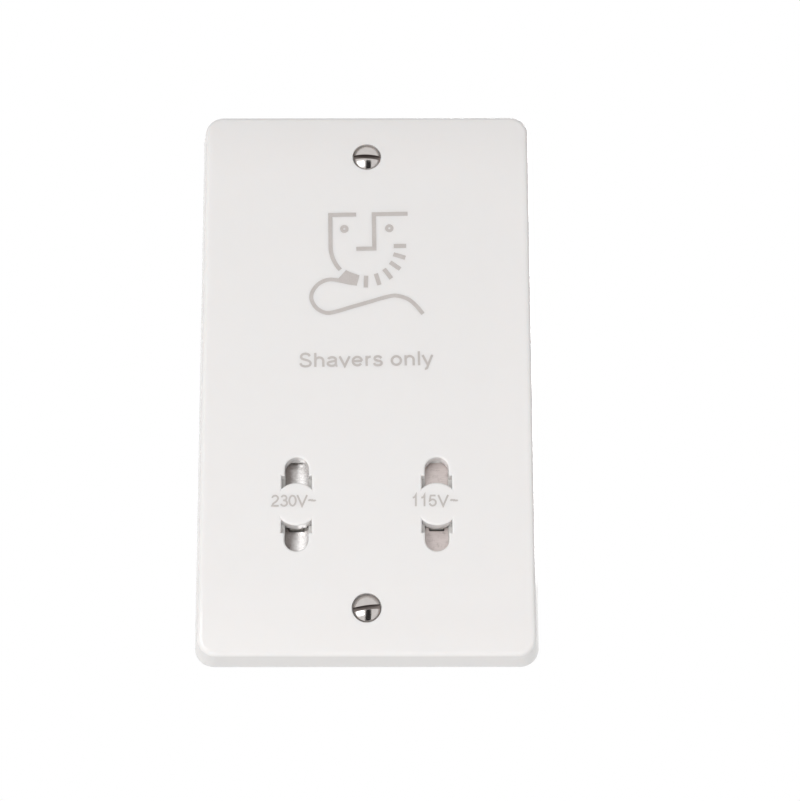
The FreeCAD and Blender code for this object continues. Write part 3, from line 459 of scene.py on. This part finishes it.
def flowing(points, steps=6):                        # a smooth line through given points
    line = []
    ends = [points[0], *points, points[-1]]
    for before, start, end, after in zip(ends, ends[1:], ends[2:], ends[3:]):
        for index in range(steps):
            t = index / steps
            line.append(tuple(0.5 * (2 * b + (c - a) * t + (2 * a - 5 * b + 4 * c - d) * t ** 2
                                     + (3 * b - a - 3 * c + d) * t ** 3)
                              for a, b, c, d in zip(before, start, end, after)))
    return line + [points[-1]]


def edgeOf(points, offset, closed):                  # the line moved sideways, with mitred corners
    moved = []
    for index, point in enumerate(points):
        ways = []
        if index or closed:
            ways.append((point - points[index - 1]).normalized())
        if closed or index < len(points) - 1:
            ways.append((points[(index + 1) % len(points)] - point).normalized())
        sides = [Vector((-way.y, way.x)) for way in ways]
        side = (sides[0] + sides[-1]).normalized()
        moved.append(point + side * (offset / side.dot(sides[0])))
    return moved


def outlined(line, width):                           # the loops round a stroke of one width
    points = [Vector(line[0])]
    for place in line[1:]:
        if (Vector(place) - points[-1]).length > width / 100:
            points.append(Vector(place))
    closed = (points[0] - points[-1]).length < width / 100
    if closed:
        points.pop()
    sides = [edgeOf(points, width / 2, closed), edgeOf(points, -width / 2, closed)]
    return sides if closed else [sides[0] + sides[1][::-1]]


def flat(loops, lift):                               # a flat filled curve, made a mesh
    curve = bpy.data.curves.new("mark", "CURVE")
    curve.dimensions = "2D"
    curve.fill_mode = "BOTH"
    curve.extrude = inkLayer["thickness"] / 2
    for loop in loops:
        spline = curve.splines.new("POLY")
        spline.points.add(len(loop) - 1)
        spline.use_cyclic_u = True
        for point, place in zip(spline.points, loop):
            point.co = (place[0], place[1], 0, 1)
    piece = bpy.data.objects.new("mark", curve)
    bpy.context.scene.collection.objects.link(piece)
    pick(piece)
    bpy.ops.object.convert(target="MESH")
    piece.location.z = lift
    settle(piece)
    return piece


def printed(name, marks, turn=0.0, pivot=(0, 0)):    # the marks, stood up on the plate's face
    # crossing marks lie at levels of their own, so that no two faces coincide
    piece = joined(name, [flat(loops, inkLayer["lift"] * (index % inkLayer["levels"]))
                          for index, loops in enumerate(marks)])
    cosine, sine = math.cos(math.radians(turn)), math.sin(math.radians(turn))
    for vertex in piece.data.vertices:
        x, y = vertex.co.x - pivot[0], vertex.co.y - pivot[1]
        vertex.co.x, vertex.co.y = pivot[0] + x * cosine - y * sine, pivot[1] + x * sine + y * cosine
    piece.scale = (mm, mm, mm)
    piece.rotation_euler = (math.radians(90), 0, 0)
    piece.location = (0, plateFace - inkLayer["proud"] * mm, 0)
    settle(piece)
    weld(piece)
    hand(piece, "base", ink)
    return piece


symbol = {
    "turn": 0.9, "pivot": (0, 35),
    "line": 1.08, "dashLine": 1.12, "cordLine": 1.02,
    "browHeight": 44.15, "cheek": -9.3, "browGap": -2.6, "noseBridge": 1.95, "browEnd": 10.7,
    "noseFoot": 34.68, "footEnd": -2.7,
    "face": (0.14, 35.33), "faceRadius": 9.46, "jawEnd": 222,
    "eyes": (-5.71, 5.9), "eyeHeight": 40.2, "eyeRadius": 0.7, "eyeLine": 0.78,
    "dashFrom": (0.06, 35.28), "dashes": 6, "dashTurn": 18.5, "dashStart": 6.9, "dashGrowth": 0.23,
    "dashLength": 3.2,
    "shaver": [(-5.44, 28.86), (-4.5, 28.36), (-3.68, 28.0), (-1.97, 27.36), (-2.74, 24.57), (-5.1, 24.98),
               (-7.5, 25.62), (-7.43, 26.62)],
    "cord": [(-7.2, 26.1), (-9.9, 26.35), (-12.5, 25.25), (-14.2, 22.9), (-14.3, 20.7), (-12.95, 18.5),
             (-10.8, 17.35), (-8.6, 17.5), (-4.2, 18.77), (0.2, 20.03), (4.6, 21.3), (7.3, 21.68),
             (10.25, 20.75), (12.4, 18.85), (14.1, 16.61)],
}


def shaverSymbol():                                  # the standard face and shaver that marks such outlets
    kit = symbol
    top, line, cheek = kit["browHeight"], kit["line"], kit["cheek"]
    x, y = kit["face"]
    jaw = arc(x, y, kit["faceRadius"], kit["faceRadius"], 180, kit["jawEnd"], 5)
    marks = [
        outlined([(kit["browGap"], top), (cheek, top), *jaw], line),
        outlined([(kit["browEnd"], top), (kit["noseBridge"], top), (kit["noseBridge"], kit["noseFoot"]),
                  (kit["footEnd"], kit["noseFoot"])], line),
        [kit["shaver"]],
        outlined(flowing(kit["cord"]), kit["cordLine"]),
    ]
    for eye in kit["eyes"]:
        ring = arc(eye, kit["eyeHeight"], kit["eyeRadius"], kit["eyeRadius"], 0, 360, 15)
        marks.append(outlined(ring, kit["eyeLine"]))
    x, y = kit["dashFrom"]
    for index in range(kit["dashes"]):
        turn = math.radians(-kit["dashTurn"] * index)
        start = kit["dashStart"] + kit["dashGrowth"] * index
        ends = [(x + far * math.cos(turn), y + far * math.sin(turn))
                for far in (start, start + kit["dashLength"])]
        marks.append(outlined(ends, kit["dashLine"]))
    return printed("print_shaver_symbol", marks, kit["turn"], kit["pivot"])


# letters as centre lines, in cap heights: (gap before, gap after, lines), each line from x 0
letters = {
    "S": (0.07, 0.06, [flowing([(0.72, 0.77), (0.62, 0.9), (0.42, 0.955), (0.21, 0.89), (0.13, 0.73),
                                (0.22, 0.59), (0.44, 0.51), (0.67, 0.42), (0.77, 0.26), (0.67, 0.1),
                                (0.42, 0.045), (0.18, 0.11), (0.07, 0.27)])]),
    "h": (0.12, 0.1, [[(0.06, 0), (0.06, 1)], arc(0.33, 0.42, 0.27, 0.25, 180, 0) + [(0.6, 0)]]),
    "a": (0.06, 0.03, [arc(0.35, 0.5, 0.26, 0.17, 165, 0) + [(0.61, 0.14)]
                       + arc(0.7, 0.14, 0.09, 0.08, 180, 280),
                       [(0.61, 0.42)] + arc(0.34, 0.21, 0.28, 0.15, 100, 270)
                       + arc(0.36, 0.24, 0.25, 0.18, 280, 350)]),
    "v": (0.01, 0.01, [[(0.03, 0.73), (0.37, 0.03), (0.71, 0.73)]]),
    "e": (0.06, 0.06, [[(0.07, 0.37), (0.67, 0.37)], arc(0.365, 0.365, 0.305, 0.305, 4, 325)]),
    "r": (0.12, 0.02, [[(0.06, 0), (0.06, 0.73)], arc(0.33, 0.42, 0.27, 0.25, 180, 85)]),
    "s": (0.05, 0.06, [flowing([(0.56, 0.55), (0.47, 0.65), (0.31, 0.69), (0.15, 0.64), (0.1, 0.53),
                                (0.17, 0.43), (0.34, 0.37), (0.52, 0.31), (0.58, 0.19), (0.49, 0.08),
                                (0.31, 0.045), (0.13, 0.09), (0.05, 0.21)])]),
    "o": (0.06, 0.06, [arc(0.37, 0.365, 0.31, 0.305, 0, 360)]),
    "n": (0.12, 0.1, [[(0.06, 0), (0.06, 0.73)], arc(0.33, 0.42, 0.27, 0.25, 180, 0) + [(0.6, 0)]]),
    "l": (0.12, 0.12, [[(0.06, 0), (0.06, 1)]]),
    "y": (0.02, 0.03, [[(0.03, 0.73), (0.36, 0.04)], [(0.68, 0.73), (0.34, -0.12)]
                       + arc(0.2, -0.1, 0.14, 0.15, -20, -100)]),
    "2": (0.05, 0.045, [arc(0.31, 0.71, 0.25, 0.235, 170, -20)
                        + [(0.42, 0.45), (0.15, 0.24), (0.065, 0.054), (0.62, 0.054)]]),
    "3": (0.05, 0.05, [arc(0.31, 0.74, 0.22, 0.21, 165, -90) + [(0.24, 0.53)],
                       [(0.24, 0.53)] + arc(0.31, 0.285, 0.265, 0.245, 90, -165)]),
    "0": (0.05, 0.05, [arc(0.332, 0.5, 0.275, 0.445, 0, 360)]),
    "1": (0.14, 0.2, [[(0.02, 0.76), (0.19, 0.8), (0.28, 0.97), (0.28, 0)]]),
    "5": (0.05, 0.05, [[(0.58, 0.946), (0.16, 0.946), (0.09, 0.5)]
                       + arc(0.33, 0.33, 0.27, 0.275, 125, -165)]),
    "V": (0.01, 0.01, [[(0.03, 1), (0.445, 0.03), (0.86, 1)]]),
    "~": (0.06, 0.02, [arc(0.17, 0.46, 0.15, 0.1, 165, 30, 20) + arc(0.48, 0.6, 0.15, 0.1, -150, -15, 20)]),
}
wordGap = 0.42

words = {
    "print_shavers_only": {"text": "Shavers only", "left": -17.15, "right": 17.0, "base": 2.76, "cap": 3.75,
                           "line": 0.6, "turn": 0.88},
    "print_230v": {"text": "230V~", "left": -23.86, "right": -12.58, "base": -34.28, "cap": 2.95,
                   "line": 0.45, "turn": 0},
    "print_115v": {"text": "115V~", "left": 11.48, "right": 23.01, "base": -34.28, "cap": 2.95,
                   "line": 0.45, "turn": 0},
}


def inkWidth(lines, half):
    return max(x for line in lines for x, y in line) + half


def wording(name):                                   # a line of letters, spread evenly between its two ends
    kit = words[name]
    cap, half = kit["cap"], kit["line"] / 2 / kit["cap"]
    places, x, before = [], 0.0, 0.0
    for letter in kit["text"]:
        if letter == " ":
            x += wordGap
            continue
        gap, after, lines = letters[letter]
        x += (before + gap) if places else 0.0
        places.append((x, lines))
        x += inkWidth(lines, half)
        before = after
    spare = (kit["right"] - kit["left"]) / cap - x
    marks = []
    for index, (start, lines) in enumerate(places):
        start += spare * index / (len(places) - 1)
        for line in lines:
            placed = [(kit["left"] + (start + px) * cap, kit["base"] + py * cap) for px, py in line]
            marks.append(outlined(placed, kit["line"]))
    return printed(name, marks, kit["turn"], (0, kit["base"]))


shaverSymbol()
for name in words:
    wording(name)
print("print: done")


# shutter springs, wound from wire

springMake = {"wire": 0.00045, "turns": 9, "endTurns": 1.0, "stepsPerTurn": 20}


def coil(x, z, front, back, outer):                  # open turns between two closed ends
    kit = springMake
    radius, closed, turns = outer - kit["wire"] / 2, kit["endTurns"], kit["turns"]
    steps = round(turns * kit["stepsPerTurn"])
    closedLength = closed * kit["wire"]
    openLength = back - front - kit["wire"] - 2 * closedLength
    curve = bpy.data.curves.new("coil", "CURVE")
    curve.dimensions = "3D"
    curve.bevel_depth = kit["wire"] / 2
    curve.bevel_resolution = 2
    curve.use_fill_caps = True
    spline = curve.splines.new("POLY")
    spline.points.add(steps)
    for index, point in enumerate(spline.points):
        turn = turns * index / steps
        along = min(turn, closed) * kit["wire"] + max(0.0, turn - turns + closed) * kit["wire"]
        along += openLength * min(max(turn - closed, 0.0), turns - 2 * closed) / (turns - 2 * closed)
        angle = turn * 2 * math.pi
        y = front + kit["wire"] / 2 + along
        point.co = (x + radius * math.cos(angle), y, z + radius * math.sin(angle), 1)
    piece = bpy.data.objects.new("coil", curve)
    bpy.context.scene.collection.objects.link(piece)
    pick(piece)
    bpy.ops.object.convert(target="MESH")
    bpy.ops.object.shade_smooth()
    return piece


def shutterSprings(volts):
    low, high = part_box("shutter_springs_" + volts)
    outer = (high.x - low.x) / 2
    middle = (low.x + high.x) / 2
    coils = [coil(middle, level, low.y, high.y, outer) for level in (low.z + outer, high.z - outer)]
    piece = joined("wound_springs_" + volts, coils)
    weld(piece)
    hand(piece, "base", spring)
    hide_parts("shutter_springs_" + volts)
    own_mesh(piece)


for volts in ("230v", "115v"):
    shutterSprings(volts)
print("springs: done")


# plate screws: slotted round heads on necked shanks, with their real thread

screwMake = {
    "dome": 0.0011, "head": 0.0026, "rimSoft": 0.00018,
    "slotWidth": 0.00105, "slotDepth": 0.0015, "slotLength": 0.01,
    "neck": 0.00155, "neckLength": 0.0078, "root": 0.00142, "crest": 0.00175, "pitch": 0.0006,
    "stepsPerTurn": 20, "tip": 0.0005, "tipTaper": 0.72, "smoothUnder": 28,
    "turns": {"plate_screw_upper": 2.0, "plate_screw_lower": -8.0},
}


def reach(piece, chosen, faces=False):               # edit mode, with only the chosen points or faces picked
    pick(piece)
    bpy.ops.object.mode_set(mode="EDIT")
    bpy.ops.mesh.select_mode(type="FACE" if faces else "VERT")
    bpy.ops.mesh.select_all(action="DESELECT")
    bpy.ops.object.mode_set(mode="OBJECT")
    for item in piece.data.polygons if faces else piece.data.vertices:
        item.select = chosen(item)
    bpy.ops.object.mode_set(mode="EDIT")


def push(distance):                                  # draws what is picked further back
    bpy.ops.mesh.extrude_region_move(TRANSFORM_OT_translate={"value": (0, distance, 0)})


def screwBlank(name, top, end, radius):              # a sphere's cap, drawn back into a head, neck and shank
    kit = screwMake
    ball = (radius ** 2 + kit["dome"] ** 2) / (2 * kit["dome"])
    rim, seat = top + kit["dome"], top + kit["head"]
    clear()
    bpy.ops.mesh.primitive_uv_sphere_add(segments=64, ring_count=80, radius=ball, location=(0, top + ball, 0),
                                         rotation=(math.radians(90), 0, 0))
    piece = bpy.context.object
    piece.name = name
    settle(piece)
    reach(piece, lambda item: True)
    bpy.ops.mesh.bisect(plane_co=(0, rim, 0), plane_no=(0, 1, 0), clear_outer=True, threshold=finest)
    bpy.ops.object.mode_set(mode="OBJECT")
    reach(piece, lambda item: abs(item.co.y - rim) < finest)
    push(seat - rim)
    bpy.ops.mesh.edge_face_add()
    bpy.ops.mesh.select_mode(type="FACE")
    bpy.ops.mesh.inset(thickness=radius - kit["neck"])
    push(kit["neckLength"])
    bpy.ops.mesh.inset(thickness=kit["neck"] - kit["root"])
    push(end - kit["tip"] - seat - kit["neckLength"])
    push(kit["tip"])
    bpy.ops.transform.resize(value=(kit["tipTaper"], 1, kit["tipTaper"]), center_override=(0, end, 0))
    bpy.ops.object.mode_set(mode="OBJECT")
    return piece


def soften(piece, width, level):                     # bevels the round edge that lies at one level
    pick(piece)
    bpy.ops.object.mode_set(mode="EDIT")
    bpy.ops.mesh.select_mode(type="EDGE")
    bpy.ops.mesh.select_all(action="DESELECT")
    bpy.ops.object.mode_set(mode="OBJECT")
    points = piece.data.vertices
    for edge in piece.data.edges:
        edge.select = all(abs(points[index].co.y - level) < finest for index in edge.vertices)
    bpy.ops.object.mode_set(mode="EDIT")
    bpy.ops.mesh.bevel(offset=width, segments=3)
    bpy.ops.object.mode_set(mode="OBJECT")


def cutAway(piece, cutter):                          # the cutter goes once it has cut
    modifier = piece.modifiers.new("cut", "BOOLEAN")
    modifier.operation = "DIFFERENCE"
    modifier.solver = "FAST"
    modifier.object = cutter
    pick(piece)
    bpy.ops.object.modifier_apply(modifier="cut")
    pick(cutter)
    bpy.ops.object.delete()


def cutSlot(piece, top):
    kit = screwMake
    clear()
    bpy.ops.mesh.primitive_cube_add(size=1, location=(0, top, 0))
    cutter = bpy.context.object
    cutter.scale = (kit["slotLength"], 2 * kit["slotDepth"], kit["slotWidth"])
    settle(cutter)
    cutAway(piece, cutter)


def threadRidge(start, end, crest):                  # a diamond section wound up the shank, half in its root
    kit = screwMake
    clear()
    bpy.ops.mesh.primitive_circle_add(vertices=4, radius=1, fill_type="NOTHING", location=(kit["root"], 0, 0),
                                      rotation=(math.radians(90), 0, 0))
    piece = bpy.context.object
    piece.scale = (crest - kit["root"], kit["pitch"] * 0.48, 1)
    settle(piece)
    winding = piece.modifiers.new("winding", "SCREW")
    winding.axis = "Z"
    winding.screw_offset = kit["pitch"]
    winding.iterations = int((end - start) / kit["pitch"]) - 1
    winding.steps = winding.render_steps = kit["stepsPerTurn"]
    pick(piece)
    bpy.ops.object.modifier_apply(modifier="winding")
    piece.rotation_euler = (math.radians(-90), 0, 0)
    piece.location = (0, start + kit["pitch"] / 2, 0)
    settle(piece)
    reach(piece, lambda item: False)
    bpy.ops.mesh.select_non_manifold()
    bpy.ops.mesh.fill_holes(sides=0)
    bpy.ops.object.mode_set(mode="OBJECT")
    return piece


def plateScrew(name):
    kit = screwMake
    low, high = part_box(name)
    radius, middle = (high.x - low.x) / 2, (low.z + high.z) / 2
    blank = screwBlank("threaded" + name[5:], low.y, high.y, radius)
    soften(blank, kit["rimSoft"], low.y + kit["dome"])
    weld(blank)
    cutSlot(blank, low.y)
    blank.rotation_euler = (0, math.radians(kit["turns"][name]), 0)
    settle(blank)
    start = low.y + kit["head"] + kit["neckLength"]
    ridge = threadRidge(start, high.y - kit["tip"], kit["crest"])
    piece = joined("threaded" + name[5:], [blank, ridge])
    piece.location = (0, 0, middle)
    settle(piece)
    weld(piece)
    bpy.ops.object.shade_smooth_by_angle(angle=math.radians(kit["smoothUnder"]))
    turn = math.radians(kit["turns"][name])
    hand(piece, "base", nickelPlate(piece.name, (0, 0, middle), -turn, kit["slotWidth"]))
    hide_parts(name)


for name in screwMake["turns"]:
    plateScrew(name)
print("screws: done")


# transformer core: thin stamped sheets, with a film of varnish between them

coreMake = {
    "sheet": 0.0005, "film": 0.00004, "yoke": 0.009, "hole": 0.00165, "holeSteps": 32,
    "windows": {"core_e_stack": [(-0.018, -0.009), (0.009, 0.018)], "core_i_stack": []},
}


def stamping(name, low, high):                       # one sheet, its windows open at the top
    kit = coreMake
    windows, sill = kit["windows"][name], low.z + kit["yoke"]
    middle = (low + high) / 2
    clear()
    bpy.ops.mesh.primitive_plane_add(size=1, location=(middle.x, low.y, middle.z),
                                     rotation=(math.radians(90), 0, 0))
    piece = bpy.context.object
    piece.name = "laminated" + name[4:]
    piece.scale = (high.x - low.x, high.z - low.z, 1)
    settle(piece)
    cuts = [((side, 0, 0), (1, 0, 0)) for window in windows for side in window]
    for place, way in cuts + [((0, 0, sill), (0, 0, 1))] * bool(windows):
        reach(piece, lambda item: True)
        bpy.ops.mesh.bisect(plane_co=place, plane_no=way, threshold=finest)
        bpy.ops.object.mode_set(mode="OBJECT")
    if windows:
        reach(piece, lambda item: item.center.z > sill
              and any(left < item.center.x < right for left, right in windows), faces=True)
        bpy.ops.mesh.delete(type="FACE")
        bpy.ops.object.mode_set(mode="OBJECT")
    reach(piece, lambda item: True, faces=True)
    push(kit["sheet"] - kit["film"])
    bpy.ops.object.mode_set(mode="OBJECT")
    weld(piece)
    for side in (-1, 1):
        clear()
        bpy.ops.mesh.primitive_cylinder_add(
            vertices=kit["holeSteps"], radius=kit["hole"], depth=4 * kit["sheet"],
            location=(side * (high.x - kit["yoke"] / 2), low.y, low.z + kit["yoke"] / 2),
            rotation=(math.radians(90), 0, 0))
        cutter = bpy.context.object
        settle(cutter)
        cutAway(piece, cutter)
    return piece


def coreStack(name):
    low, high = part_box(name)
    piece = stamping(name, low, high)
    stack = piece.modifiers.new("stack", "ARRAY")
    stack.count = round((high.y - low.y) / coreMake["sheet"])
    stack.use_relative_offset = False
    stack.use_constant_offset = True
    stack.constant_offset_displace = (0, coreMake["sheet"], 0)
    applyAll(piece)
    hand(piece, "base", coreSteel)
    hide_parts(name)


for name in coreMake["windows"]:
    coreStack(name)
print("core: done")


# camera, light and floor

view = {"from": (0.003052, -0.7287, -0.238361), "lens": 133.88, "shift": (0.04135, -0.01405), "roll": 0.015}
ground = {"level": -1.25, "size": 60.0, "colour": rgb(0.86, 0.86, 0.85), "ambient": 0.42, "glow": 0.8}
lamps = {                                            # one that doesn't shine isn't mirrored in gloss or metal
    "keyLight": {"from": (-0.61, -0.99, -0.22), "size": (0.8, 0.62), "power": 5.0, "shines": True},
    "fillLight": {"from": (0.1, -0.72, -0.4), "size": (0.4, 0.3), "power": 1.95, "shines": False},
    "sideLight": {"from": (-1.0, -0.12, 0.05), "size": (0.3, 0.6), "power": 1.0, "shines": False},
    "backLight": {"from": (0.5, 1.2, 0.65), "size": (0.9, 0.7), "power": 7.5, "shines": True},
    "underLight": {"from": (0, -0.3, -0.8), "size": (0.7, 0.045), "power": 0.5, "shines": True},
}
flags = {                                            # dark cards that only gloss and metal show
    "cameraFlag": {"from": (0.2, -1.3, -0.68), "size": (0.72, 1.9)},
}


def aimed(piece, target=(0, 0, 0)):
    piece.rotation_euler = (Vector(target) - piece.location).to_track_quat("-Z", "Y").to_euler()


def makeCamera():
    camera = bpy.data.objects.new("camera", bpy.data.cameras.new("camera"))
    bpy.context.scene.collection.objects.link(camera)
    camera.location = view["from"]
    aimed(camera)
    camera.rotation_euler.rotate_axis("Z", math.radians(view["roll"]))
    camera.data.lens = view["lens"]
    camera.data.shift_x, camera.data.shift_y = view["shift"]
    bpy.context.scene.camera = camera


def makeLamp(name):
    kit = lamps[name]
    lamp = bpy.data.objects.new(name, bpy.data.lights.new(name, "AREA"))
    bpy.context.scene.collection.objects.link(lamp)
    lamp.data.shape = "RECTANGLE"
    lamp.data.size, lamp.data.size_y = kit["size"]
    lamp.data.energy = kit["power"]
    lamp.location = kit["from"]
    lamp.visible_camera = False
    lamp.visible_glossy = kit["shines"]
    aimed(lamp)


def makeFlag(name):
    kit = flags[name]
    clear()
    bpy.ops.mesh.primitive_plane_add(size=1)
    flag = bpy.context.object
    flag.name = name
    flag.location = kit["from"]
    flag.scale = (*kit["size"], 1)
    aimed(flag)
    settle(flag)
    flag.visible_camera = flag.visible_diffuse = flag.visible_shadow = flag.visible_transmission = False
    paint = Paint(name + "Card")
    flag.data.materials.append(paint.finish(colour=rgb(0.03, 0.028, 0.027), roughness=0.9))


def makeWorld():                                     # even light, and pure white for what sees or mirrors it
    world = bpy.data.worlds.new("studio")
    bpy.context.scene.world = world
    world.use_nodes = True
    tree = world.node_tree
    path = tree.nodes.new("ShaderNodeLightPath")
    seen = path.outputs["Is Camera Ray"]
    for ray in ("Is Glossy Ray", "Is Transmission Ray"):
        either = tree.nodes.new("ShaderNodeMath")
        either.operation = "MAXIMUM"
        tree.links.new(seen, either.inputs[0])
        tree.links.new(path.outputs[ray], either.inputs[1])
        seen = either.outputs[0]
    strength = tree.nodes.new("ShaderNodeMapRange")
    strength.inputs["To Min"].default_value = ground["ambient"]
    strength.inputs["To Max"].default_value = 1.0
    tree.links.new(seen, strength.inputs["Value"])
    tree.links.new(strength.outputs[0], tree.nodes["Background"].inputs["Strength"])
    tree.nodes["Background"].inputs["Color"].default_value = (1, 1, 1, 1)


def makeFloor():
    clear()
    bpy.ops.mesh.primitive_plane_add(size=ground["size"], location=(0, 0, ground["level"]))
    floor = bpy.context.object
    floor.name = "studio_floor"
    floor.visible_glossy = False                     # metal sees the white ground all round
    paint = Paint("studioFloor")
    cloud = paint.noise(3, 2)
    colour = paint.mix(cloud, ground["colour"], shaded(ground["colour"], 0.985))
    floor.data.materials.append(paint.finish(colour=colour, roughness=0.7))
    glow = paint.add("ShaderNodeEmission", None, {"Color": ground["colour"]})
    seen = paint.add("ShaderNodeLightPath", out="Is Camera Ray")
    lit = Amount(paint, paint.shader.outputs[0])
    mixed = paint.add("ShaderNodeMixShader", None, {0: seen * ground["glow"], 1: lit, 2: glow})
    paint.tree.links.new(mixed.socket, paint.tree.nodes["Material Output"].inputs["Surface"])
    settle(floor)


makeCamera()
makeWorld()
makeFloor()
for name in lamps:
    makeLamp(name)
for name in flags:
    makeFlag(name)
bpy.context.scene.view_settings.view_transform = "Standard"
print("studio: done")
